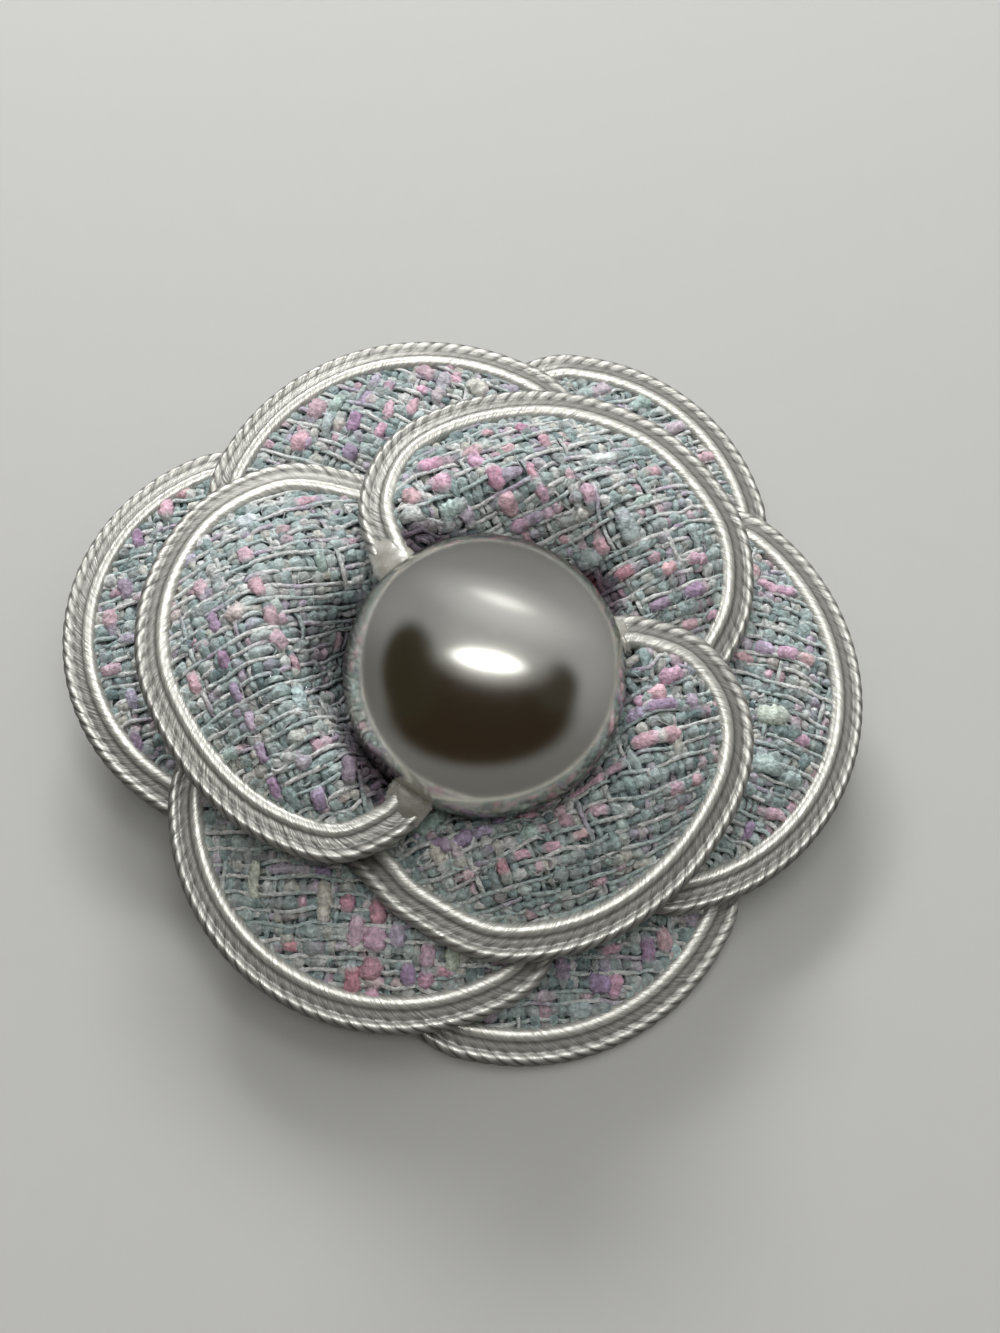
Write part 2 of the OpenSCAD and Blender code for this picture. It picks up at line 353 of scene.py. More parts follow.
DYES_AND_SHADES = {
    "teal": paint(162, 182, 182), "aqua": paint(194, 210, 209), "deep_teal": paint(130, 150, 153),
    "grey": paint(174, 180, 181), "cream": paint(216, 215, 208), "white": paint(234, 236, 235),
    "pink": paint(225, 190, 205), "rose": paint(218, 165, 185), "lilac": paint(202, 190, 209),
    "purple": paint(182, 160, 190), "violet_shade": paint(84, 56, 80), "maroon_shade": paint(86, 24, 38),
    "deep_shade": paint(70, 78, 80)}


# Node helpers


def feed(tree, socket, value):
    if isinstance(value, bpy.types.NodeSocket):
        tree.links.new(value, socket)
    else:
        socket.default_value = value


def feed_all(tree, node, inputs):
    """Feeds a node's inputs, named with _ for each space or numbered as in _0. Returns the node."""
    for name, value in inputs.items():
        key = int(name[1:]) if name[1:].isdigit() else name.replace("_", " ")
        feed(tree, node.inputs[key], value)
    return node


def add(tree, kind, settings=None, **inputs):
    """A node with its settings and its inputs, which are values or other nodes' outputs."""
    made = tree.nodes.new("ShaderNode" + kind)
    for name, value in (settings or {}).items():
        setattr(made, name, value)
    return feed_all(tree, made, inputs)


def new_group(name, inputs, outputs):
    """An empty node group, its input node and its output node. inputs and outputs pair names with kinds."""
    tree = bpy.data.node_groups.new(name, "ShaderNodeTree")
    for socket, kind, value in inputs:
        made = tree.interface.new_socket(socket, in_out="INPUT", socket_type="NodeSocket" + kind)
        if value is not None:
            made.default_value = value
    for socket, kind in outputs:
        tree.interface.new_socket(socket, in_out="OUTPUT", socket_type="NodeSocket" + kind)
    return tree, tree.nodes.new("NodeGroupInput"), tree.nodes.new("NodeGroupOutput")


def use(tree, group, **inputs):
    """What a group puts out, with its inputs' own values."""
    made = tree.nodes.new("ShaderNodeGroup")
    made.node_tree = group
    return feed_all(tree, made, inputs).outputs[0]


def new_material(name):
    material = bpy.data.materials.new(name)
    material.use_nodes = True
    return material, material.node_tree


def set_shader(tree, **inputs):
    """The material's own shader, with its inputs."""
    feed_all(tree, tree.nodes["Principled BSDF"], inputs)


def rgba(colour):
    return (*[float(c) for c in colour], 1.0)


def streak_group():
    """Fine fibres along a thread: long thin noise across the thread's own map, in millimetres."""
    tree, given, out = new_group(
        "fibre_streaks",
        [("Vector", "Vector", None), ("Along", "Float", 0.6), ("Across", "Float", 9.0)],
        [("Value", "Float")])
    size = add(tree, "CombineXYZ", X=given.outputs["Along"], Y=given.outputs["Across"], Z=1.0)
    spot = add(tree, "VectorMath", {"operation": "MULTIPLY"}, _0=given.outputs["Vector"], _1=size.outputs[0])
    noise = add(tree, "TexNoise", Vector=spot.outputs[0], Scale=1.0, Detail=3.0, Roughness=0.6)
    feed(tree, out.inputs["Value"], noise.outputs["Fac"])
    return tree


def grain_group():
    """Cloudy noise in the brooch's own space at a size in millimetres."""
    tree, given, out = new_group(
        "grain",
        [("Size", "Float", 1.0), ("Detail", "Float", 2.0)],
        [("Value", "Float")])
    spot = add(tree, "TexCoord").outputs["Object"]
    scale = add(tree, "Math", {"operation": "DIVIDE"}, _0=1 / MM, _1=given.outputs["Size"])
    noise = add(tree, "TexNoise", Vector=spot, Scale=scale.outputs[0], Detail=given.outputs["Detail"],
                Roughness=0.55)
    feed(tree, out.inputs["Value"], noise.outputs["Fac"])
    return tree


STREAKS = streak_group()
GRAIN = grain_group()


def mixed(tree, factor, a, b, blend="MIX"):
    """Mix of two colours. Returns the result's socket."""
    made = add(tree, "Mix", {"data_type": "RGBA", "blend_type": blend})
    feed(tree, made.inputs[0], factor)
    feed(tree, made.inputs[6], a)
    feed(tree, made.inputs[7], b)
    return made.outputs[2]


def spread(tree, value, low, high, to_low=0.0, to_high=1.0):
    made = add(tree, "MapRange", Value=value, From_Min=low, From_Max=high, To_Min=to_low, To_Max=to_high)
    return made.outputs[0]


def two_tone(tree, value, low, high, dark, light):
    """Colour from dark to light, given as they show on a screen, while value goes from low to high."""
    return mixed(tree, spread(tree, value, low, high), rgba(paint(*dark)), rgba(paint(*light)))


def raised(tree, height, distance, strength=1.0, under=None):
    """Bump in millimetres."""
    made = add(tree, "Bump", Height=height, Distance=distance * MM, Strength=strength)
    if under is not None:
        feed(tree, made.inputs["Normal"], under)
    return made.outputs[0]


def thread_map(tree):
    """A strand's own map, in millimetres along it and in parts of the way round it."""
    return add(tree, "UVMap", {"uv_map": "thread"}).outputs[0]


def dyed_and_shaded(tree, shade):
    """The given shade times each point's colour: its dye and the shade painted into it."""
    dye = add(tree, "Attribute", {"attribute_name": "dye"}).outputs["Color"]
    return mixed(tree, 1.0, shade, dye, "MULTIPLY")


def braid_material():
    """Silky pale braid: satin yarns with fine fibres, darker in the grooves by shade painted into its points'
    colour.
    """
    material, tree = new_material("silky_braid")
    fine = use(tree, STREAKS, Vector=thread_map(tree), Along=0.7, Across=7.0)
    coarse = use(tree, STREAKS, Vector=thread_map(tree), Along=0.35, Across=2.2)
    shade = two_tone(tree, fine, 0.3, 0.7, (182, 182, 176), (246, 246, 241))
    along = add(tree, "Tangent", {"direction_type": "UV_MAP", "uv_map": "thread"}).outputs[0]
    set_shader(tree, Base_Color=dyed_and_shaded(tree, shade), Metallic=0.55, Specular_IOR_Level=0.6,
               Roughness=spread(tree, coarse, 0.3, 0.7, 0.28, 0.52),
               Anisotropic=0.70, Anisotropic_Rotation=0.25, Tangent=along,
               Normal=raised(tree, fine, 0.12, 0.8))
    return material


def yarn_material():
    """Matt, slightly furry yarn, dyed along its length by its own colour."""
    material, tree = new_material("tweed_yarn")
    fibres = use(tree, STREAKS, Vector=thread_map(tree), Along=1.6, Across=6.0)
    fuzz = use(tree, GRAIN, Size=0.30, Detail=4.0)
    light = mixed(tree, spread(tree, fibres, 0.35, 0.7), rgba((0.80, 0.80, 0.80)), rgba((1.30, 1.30, 1.30)))
    mottled = mixed(tree, spread(tree, fuzz, 0.35, 0.65), rgba((0.82, 0.83, 0.83)), rgba((1.28, 1.27, 1.27)))
    set_shader(tree, Base_Color=dyed_and_shaded(tree, mixed(tree, 1.0, light, mottled, "MULTIPLY")), Roughness=0.85,
               Sheen_Weight=0.15, Sheen_Roughness=0.5, Specular_IOR_Level=0.25,
               Normal=raised(tree, fibres, 0.10, 0.8, raised(tree, fuzz, 0.25)))
    return material


def glitter_material():
    """Silver glitter thread."""
    material, tree = new_material("silver_glitter_thread")
    facets = use(tree, STREAKS, Vector=thread_map(tree), Along=4.0, Across=2.0)
    set_shader(tree, Base_Color=two_tone(tree, facets, 0.0, 1.0, (200, 205, 210), (255, 255, 255)),
               Metallic=1.0, Roughness=spread(tree, facets, 0.3, 0.7, 0.08, 0.25))
    return material


def ground_material():
    """Ground of the tweed, seen only through the holes between its yarns: teal painted dark for the shade in
    them.
    """
    material, tree = new_material("tweed_ground")
    fuzz = use(tree, GRAIN, Size=0.5, Detail=3.0)
    shade = two_tone(tree, fuzz, 0.35, 0.65, (78, 90, 94), (142, 158, 160))
    set_shader(tree, Base_Color=dyed_and_shaded(tree, shade), Roughness=0.95, Normal=raised(tree, fuzz, 0.2, 0.7))
    return material


def lining_material():
    """Close plain weave in pale teal on the petals' underside."""
    material, tree = new_material("tweed_lining")
    spot = add(tree, "TexCoord").outputs["Object"]
    waves = [add(tree, "TexWave", {"bands_direction": way}, Vector=spot, Scale=520.0, Distortion=1.5,
                 Detail=2.0, Detail_Scale=3.0).outputs["Fac"] for way in ("X", "Y")]
    weave = add(tree, "Math", {"operation": "MULTIPLY"}, _0=waves[0], _1=waves[1]).outputs[0]
    cloud = use(tree, GRAIN, Size=2.5, Detail=3.0)
    tint = two_tone(tree, cloud, 0.35, 0.65, (150, 180, 178), (214, 190, 204))
    set_shader(tree, Base_Color=mixed(tree, weave, rgba(paint(96, 112, 112)), tint), Roughness=0.9,
               Normal=raised(tree, weave, 0.2, 0.6))
    return material


def glue_material():
    """Clear glue that has soaked into the braid's end."""
    material, tree = new_material("dried_glue")
    cloud = use(tree, GRAIN, Size=1.2, Detail=3.0)
    set_shader(tree, Base_Color=two_tone(tree, cloud, 0.35, 0.7, (182, 179, 166), (218, 216, 208)),
               Roughness=spread(tree, cloud, 0.3, 0.7, 0.16, 0.34), Transmission_Weight=0.25, IOR=1.45,
               Normal=raised(tree, cloud, 0.10, 0.35))
    return material


def nacre_material():
    """Imitation pearl: warm grey nacre with a soft metallic shine."""
    material, tree = new_material("nacre")
    cloud = use(tree, GRAIN, Size=6.0, Detail=2.0)
    fine = use(tree, GRAIN, Size=0.6, Detail=2.0)
    set_shader(tree, Base_Color=two_tone(tree, cloud, 0.35, 0.65, (248, 247, 241), (251, 250, 245)),
               Roughness=spread(tree, fine, 0.3, 0.7, 0.165, 0.185), Metallic=1.0,
               Specular_Tint=rgba((0.45, 0.45, 0.43)))
    return material


def plain_material(name, colour, roughness, metallic=0.0, darkest=0.85):
    """Plain stuff, a little cloudy: its darkest places are that part of its colour."""
    material, tree = new_material(name)
    cloud = use(tree, GRAIN, Size=3.0, Detail=3.0)
    colour = paint(*colour)
    set_shader(tree, Base_Color=mixed(tree, cloud, rgba(colour * darkest), rgba(colour)),
               Roughness=roughness, Metallic=metallic)
    return material


BRAID = braid_material()
YARN = yarn_material()
GLITTER = glitter_material()
GROUND = ground_material()
LINING = lining_material()
NACRE = nacre_material()
GLUE = glue_material()
BACKING = plain_material("backing_felt", (190, 190, 186), 0.9)
PIN_METAL = plain_material("pin_metal", (200, 198, 196), 0.3, 1.0)

# Braid

# Upper half of each rib's section, the lower half mirrors it. From the middle of the flat groove outwards.
# Columns: across, up, and how light the yarn is painted there: painted shade in the groove and on the flanks,
# and a faint painted highlight on the crest
INNER_RIB = np.array([
    [0.00, 0.49, 0.60], [0.24, 0.47, 0.42], [0.42, 0.48, 0.38], [0.55, 0.61, 0.95], [0.68, 0.73, 1.04],
    [0.84, 0.79, 1.04], [1.02, 0.77, 1.04], [1.19, 0.70, 1.04], [1.34, 0.57, 0.95], [1.46, 0.30, 0.66],
    [1.50, 0.00, 0.60]])
OUTER_RIB = np.array([
    [0.00, 0.49, 0.60], [0.22, 0.47, 0.54], [0.38, 0.48, 0.42], [0.50, 0.58, 0.52], [0.64, 0.70, 0.84],
    [0.80, 0.76, 1.02], [0.96, 0.73, 0.84], [1.12, 0.62, 0.58], [1.34, 0.40, 0.56], [1.46, 0.20, 0.55],
    [1.50, 0.00, 0.54]])
# Columns: side, section, how many times as deep as YARN_DEPTH the gaps between its yarns are, and how light
# the painted shade in those gaps leaves the yarn
RIBS = [(-1, INNER_RIB, 0.5, 0.80), (1, OUTER_RIB, 1.7, 0.15)]
RIB_MIDDLE = 0.76
# The braid's yarns: pitch, slant, steps to a yarn, depth of the gaps between them, and roundness, up to 1
YARN_PITCH, YARN_SLANT, YARN_STEPS, YARN_DEPTH, YARN_ROUND = 1.1, 45, 6, 0.10, 0.94
# The yarns stand out fully from here on outwards, and less and less towards the groove
YARNS_SHOWN = 0.6
# Samples of a braid's line, and points of a rib's section above and below
EDGE_SAMPLES, RIB_ABOVE, RIB_BELOW = 600, 15, 5
# How unevenly thick the yarns are, and how much of the painted shade in the gaps between them shows at the
# groove
YARN_UNEVEN, GROOVE_SHOWN = (0.8, 1.15), 0.4
BRAID_TINT = np.array([1.0, 0.99, 0.97])
# Braids sewn on the other way round, so that their yarns slant the other way
REVERSED = ["inner_left", "middle_left", "outer_right"]
# Where each inner braid really ends, glued to the pearl: bearing, reach and height of its first two places
GLUED_ENDS = {
    "inner_top": [[126, 9.3, 14.0], [127, 10.8, 13.6]],
    "inner_right": [[21, 9.7, 14.0], [20, 11.8, 13.6]],
    "inner_left": [[-120, 9.9, 14.4], [-122, 12.3, 13.8]]}


def braid_edge(petal):
    if petal.name not in GLUED_ENDS:
        return petal.edge
    return np.vstack([[place(*row) for row in GLUED_ENDS[petal.name]], petal.edge[1:]])


def rib_ring(rib):
    """A rib's section from the groove over its crest and back below, and how far round it each point lies."""
    upper = on_curve(rib, np.linspace(0, 1, RIB_ABOVE))
    lay = distances(upper[:, :2])
    below = np.linspace(RIB_ABOVE - 3, 0, RIB_BELOW).astype(int)
    return np.vstack([upper, upper[below] * [1, -1, 1]]), np.r_[lay, lay[below]]


def make_braid(petal, seed):
    """Two ribs side by side with a groove between them, plaited from slanted yarns that cross it."""
    rng = np.random.default_rng(seed)
    samples = np.linspace(0, 1, EDGE_SAMPLES)
    edge = braid_edge(petal)
    length = distances(on_curve(edge, samples))
    slope = np.radians(YARN_SLANT)
    slant = (-1 if petal.name in REVERSED else 1) / np.tan(slope)
    step = YARN_PITCH / YARN_STEPS
    ribs = [(side, *rib_ring(rib), deep, light) for side, rib, deep, light in RIBS]
    reach = int(np.ceil(max(rib[2].max() for rib in ribs) * abs(slant) / step)) + 1
    index = np.arange(-reach, int(length[-1] / step) + reach + 2)
    halves, dyes, lays = [], [], []
    for side, section, lay, deep, gap_shade in ribs:
        across, up, light = section.T
        inward = unit(np.stack([RIB_MIDDLE - across, -up], axis=-1))
        shown = ease(across / YARNS_SHOWN)
        along = index[:, None] * step + side * slant * lay
        u = np.interp(np.clip(along, 0, length[-1]), length, samples)
        turn = (index + (YARN_STEPS // 2 if side > 0 else 0)) / YARN_STEPS
        off = 2 * (turn % 1) - 1
        nth = (turn - turn.min()).astype(int)
        thick = rng.uniform(*YARN_UNEVEN, int(turn.max() - turn.min()) + 3)[nth]
        dip = (1 - np.sqrt(1 - YARN_ROUND * off**2)) * thick
        sunk = YARN_DEPTH * deep * dip[:, None] * shown
        points = braid_point(edge, u, side * (across + sunk * inward[:, 0]), up + sunk * inward[:, 1])
        # Painted shade and highlight: each rib's lightness across its section, and darker gaps between the
        # yarns
        dye = light * mix(1, gap_shade, np.clip(dip, 0, 1)[:, None] * mix(GROOVE_SHOWN, 1, shown))
        # The inner rib's half goes round the other way, so that both make one ring
        way = -1 if side < 0 else 1
        halves.append(points[:, ::way])
        dyes.append(dye[:, ::way])
        lays.append(lay[::way])
    points = np.concatenate(halves[::-1], axis=1)
    dye = np.concatenate(dyes[::-1], axis=1)[..., None] * BRAID_TINT
    skin = Skin()
    start = skin.add_points(points, dye.reshape(-1, 3))
    count = points.shape[1]
    i, k, faces = wrapped(len(index), count)
    turns = np.concatenate(lays[::-1]) / np.sin(slope)
    v_low, v_high = i * step * np.sin(slope), (i + 1) * step * np.sin(slope)
    u_a, u_b = turns[k], turns[(k + 1) % count]
    skin.add_faces(faces + start, np.stack([u_a, v_low, u_b, v_low, u_b, v_high, u_a, v_high], axis=-1), 0)
    made = skin.piece("braid_" + petal.name + "_plaited", [BRAID])
    close_ends(made)
    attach(made, "root")
    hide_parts("braid_" + petal.name)
    return made


def close_ends(made):
    """Merges the points that lie together at each end of a braid and closes the end."""
    bpy.ops.object.select_all(action="DESELECT")
    made.select_set(True)
    bpy.context.view_layer.objects.active = made
    bpy.ops.object.mode_set(mode="EDIT")
    bpy.ops.mesh.select_all(action="SELECT")
    bpy.ops.mesh.remove_doubles(threshold=0.002 * MM)
    bpy.ops.mesh.dissolve_degenerate(threshold=0.0005 * MM)
    bpy.ops.mesh.select_all(action="DESELECT")
    bpy.ops.mesh.select_mode(type="EDGE")
    bpy.ops.mesh.select_non_manifold(extend=False)
    bpy.ops.mesh.fill()
    bpy.ops.mesh.select_all(action="DESELECT")
    bpy.ops.object.mode_set(mode="OBJECT")


# Glue at each inner braid's end. Columns: place along the braid, half width, half height, rise. On the braid,
# places are parts of how far the glue has soaked in, and before its end they are in millimetres
GLUE_STEPS = [
    [-1.9, 0.9, 0.7, 0.0], [-1.3, 1.4, 1.0, 0.0], [-0.7, 1.7, 1.1, 0.0], [0.0, 1.75, 1.1, 0.0],
    [0.3, 1.72, 1.02, 0.0], [0.6, 1.66, 0.94, 0.0], [0.8, 1.58, 0.82, -0.05], [1.0, 1.3, 0.50, -0.15]]
GLUE_REACH = {"inner_top": 4.0, "inner_right": 1.5, "inner_left": 1.8}
# Part of the braid that can be glued, how unevenly thick the glue is, its steps and its section's corners
GLUED_PART, GLUE_UNEVEN, GLUE_STATIONS, GLUE_SIDES = 0.2, (0.94, 1.06), 22, 24


def make_glue(petal, seed):
    """Dried glue that holds a braid's end to the pearl."""
    rng = np.random.default_rng(seed)
    edge = braid_edge(petal)
    samples = np.linspace(0, GLUED_PART, 200)
    length = distances(on_curve(edge, samples))
    shaped = np.arange(len(GLUE_STEPS))
    rows = np.linspace(0, shaped[-1], GLUE_STATIONS)
    at, wide, tall, rise = [np.interp(rows, shaped, column) for column in np.array(GLUE_STEPS).T]
    at = np.where(at > 0, at * GLUE_REACH[petal.name], at)
    u = np.interp(np.maximum(at, 0), length, samples)
    back = unit(on_curve(edge, np.array(0.0)) - on_curve(edge, np.array(0.03)))
    centres = braid_point(edge, u, 0, rise) + np.maximum(-at, 0)[:, None] * back
    side = unit(braid_point(edge, u, 1, 0) - braid_point(edge, u, 0, 0))
    up = unit(braid_point(edge, u, 0, 1) - braid_point(edge, u, 0, 0))
    uneven = rng.uniform(*GLUE_UNEVEN, (2, GLUE_STATIONS))
    dye = np.ones((GLUE_STATIONS, 3))
    skin = Skin()
    add_tube(skin, centres, side, up, wide * uneven[0], tall * uneven[1], dye, 0, GLUE_SIDES)
    made = skin.piece("glue_" + petal.name, [GLUE])
    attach(made, "root")


# Tweed

# Kinds of yarn: room it takes in the weave, half width where it floats and where it dips, height as a part of
# its width, how light the painted shade leaves it where it dips, corners of its section, how uneven it is,
# and its dyes
Kind = namedtuple("Kind", "room wide narrow tall lowest sides uneven dyes")
# Dyes that the plain stretches of yarn take, the usual ones more often
PLAIN_DYES = (["teal"] * 5 + ["aqua"] * 6 + ["grey"] * 2 + ["cream"] * 2 + ["white"] * 2
              + ["deep_teal", "lilac", "pink"])
LIGHT_DYES = ["white"] * 6 + ["aqua"] * 5 + ["lilac"]
YARNS = {
    "slub": Kind(0.80, 0.46, 0.31, 0.66, 0.74, 8, 1.0, PLAIN_DYES),
    "medium": Kind(0.58, 0.33, 0.24, 0.66, 0.74, 8, 1.0, PLAIN_DYES),
    "thin": Kind(0.30, 0.20, 0.18, 0.60, 0.90, 4, 0.3, LIGHT_DYES)}
ROWS = ["slub", "thin", "slub", "thin", "medium", "thin"]
COLUMNS = ["slub", "medium", "slub", "thin", "medium", "slub"]
# How far a yarn goes up and down, how high it lies on the padding, its steps, and its fewest steps
WAVE, LIFT, STITCH, FEWEST = 0.20, 0.56, 0.22, 5
# Longer steps would cut through a fold: a yarn stops there, and a loose thread is left out
YARN_JUMP, STRAND_JUMP = 4 * STITCH, 1.2
# How far off its place in the weave a yarn can be, and the part of the crossings where the weave skips
SHIFT, SKIPS = 0.09, 0.06
# What changes along a yarn. Columns: how often it changes, in millimetres, its lowest and its highest value
SWELLING, THIN_SWELLING = (0.8, 0.55, 1.42), (0.9, 0.8, 1.3)
SWAY, THIN_RISE = (1.5, -0.18, 0.18), (2.1, 0.04, 0.16)
# How long a yarn keeps a dye, and its lightness from stitch to stitch
DYE_RUN, STITCH_LIGHT = 1.3, (0.88, 1.12)
# How often a thin row and a thin column pass over a thick yarn that the plain weave would put on top
THIN_ROW_OVER, THIN_COLUMN_OVER = 0.7, 0.5
# What the lengths and thicknesses of SLUBS and their dyes are multiplied by, and how far a slub stands out
SLUB_LENGTH, SLUB_THICK, SLUB_LIGHT, SLUB_PROUD = 0.80, 0.88, (1.02, 1.18), 0.10
# Length over which a slub's ends fade, how far short of its ends it covers crossings, its least cover each
# way, and how high it floats
SLUB_FADE, SLUB_BARE, SLUB_COVER, SLUB_FLOAT = 0.4, 0.15, 0.3, 0.6
# A slub bulges this many times its length each way from its middle, and so much more
PLUMP_TIMES, PLUMP_MORE = 0.6, 0.3
# Unevenness of a yarn's surface and of its colour, as parts of them
LUMPS, MOTTLE = 0.26, 0.22
# Steps of the flat cloth along the edge and to the foot, and the hidden part at each end of an arc petal
COVER_STEPS, HIDDEN_END = (121, 44), 0.12
# Places of the petal's materials: ground, woven yarn, glitter thread and lining
BASE, WOVEN, SILVER, LINED = range(4)


class FlatCloth:
    """A petal's cloth spread flat, with the way back from each flat place to the petal."""

    def __init__(self, petal):
        self.petal = petal
        hidden = 0 if petal.layer is INNER else HIDDEN_END
        u = np.linspace(hidden, 1 - hidden, COVER_STEPS[0])
        t = np.r_[-TUCK_STEP, -TUCK_STEP / 2, np.linspace(0, petal.woven_to, COVER_STEPS[1])]
        self.points = cloth(petal, u[:, None], t[None, :])
        self.normals = grid_normals(self.points)
        steps = np.linalg.norm(np.diff(self.points, axis=1), axis=-1)
        length = np.concatenate([np.zeros((len(u), 1)), np.cumsum(steps, axis=1)], axis=1)
        foot = place(mix(petal.foot_from, petal.foot_to, u), FOOT_REACH)[:, :2]
        start = self.points[:, 0, :2]
        aim = unit(foot - start)
        flat = start[:, None] + aim[:, None] * length[..., None]
        turn = turning("z", -petal.weave)[:2, :2]
        self.flat = flat @ turn.T
        self.places = np.stack(np.broadcast_arrays(u[:, None], t[None, :]), axis=-1)
        count = len(t)
        quads = np.arange((len(u) - 1) * count).reshape(-1, count)[:, :-1].reshape(-1, 1)
        self.triangles = np.concatenate([quads + [0, count, count + 1], quads + [0, count + 1, 1]])
        corners = [Vector((x, y, 0)) for x, y in self.flat.reshape(-1, 2)]
        self.tree = BVHTree.FromPolygons(corners, self.triangles.tolist())
        shown = lying(self.points + self.normals * LIFT).reshape(-1, 3)
        self.shown = BVHTree.FromPolygons([Vector(p) for p in shown], self.triangles.tolist())

    def locate(self, spots):
        """Whether each flat place is on the cloth, its point, its normal, and its place along the edge and to
        the foot."""
        down = Vector((0, 0, -1))
        hits = [self.tree.ray_cast(Vector((x, y, 1)), down)[2] for x, y in spots]
        inside = np.array([hit is not None for hit in hits])
        corners = self.triangles[[hit or 0 for hit in hits]]
        flat = self.flat.reshape(-1, 2)[corners]
        a, b, c = flat[:, 0], flat[:, 1] - flat[:, 0], flat[:, 2] - flat[:, 0]
        d = spots - a
        area = b[:, 0] * c[:, 1] - b[:, 1] * c[:, 0]
        area = np.where(np.abs(area) < 1e-9, 1e-9, area)
        s = (d[:, 0] * c[:, 1] - d[:, 1] * c[:, 0]) / area
        r = (b[:, 0] * d[:, 1] - b[:, 1] * d[:, 0]) / area
        weights = np.stack([1 - s - r, s, r], axis=-1)[..., None]
        point = (self.points.reshape(-1, 3)[corners] * weights).sum(axis=1)
        normal = unit((self.normals.reshape(-1, 3)[corners] * weights).sum(axis=1))
        spot = (self.places.reshape(-1, 2)[corners] * weights).sum(axis=1)
        return inside, point, normal, spot

    def seen_at(self, x, y):
        """Flat place of the cloth that the camera sees at a pixel of its frame, or None."""
        focus = LENS / SENSOR * FRAME_H
        way = (CAMERA_RIGHT * (x - FRAME_W / 2) - CAMERA_UP * (y - FRAME_H / 2)) / focus - CAMERA_BACK
        hit = self.shown.ray_cast(Vector((STAND + CAMERA_OFFSET) * MM), Vector(way))[2]
        return None if hit is None else self.flat.reshape(-1, 2)[self.triangles[hit]].mean(axis=0)


def sequence(kinds, low, high, rng):
    """Places of the yarns side by side from low to high, with each one's kind."""
    at, n, rows = low, 0, []
    while at < high:
        kind = kinds[n % len(kinds)]
        rows.append((at + YARNS[kind].room / 2 + rng.uniform(-SHIFT, SHIFT), kind))
        at += YARNS[kind].room
        n += 1
    return rows


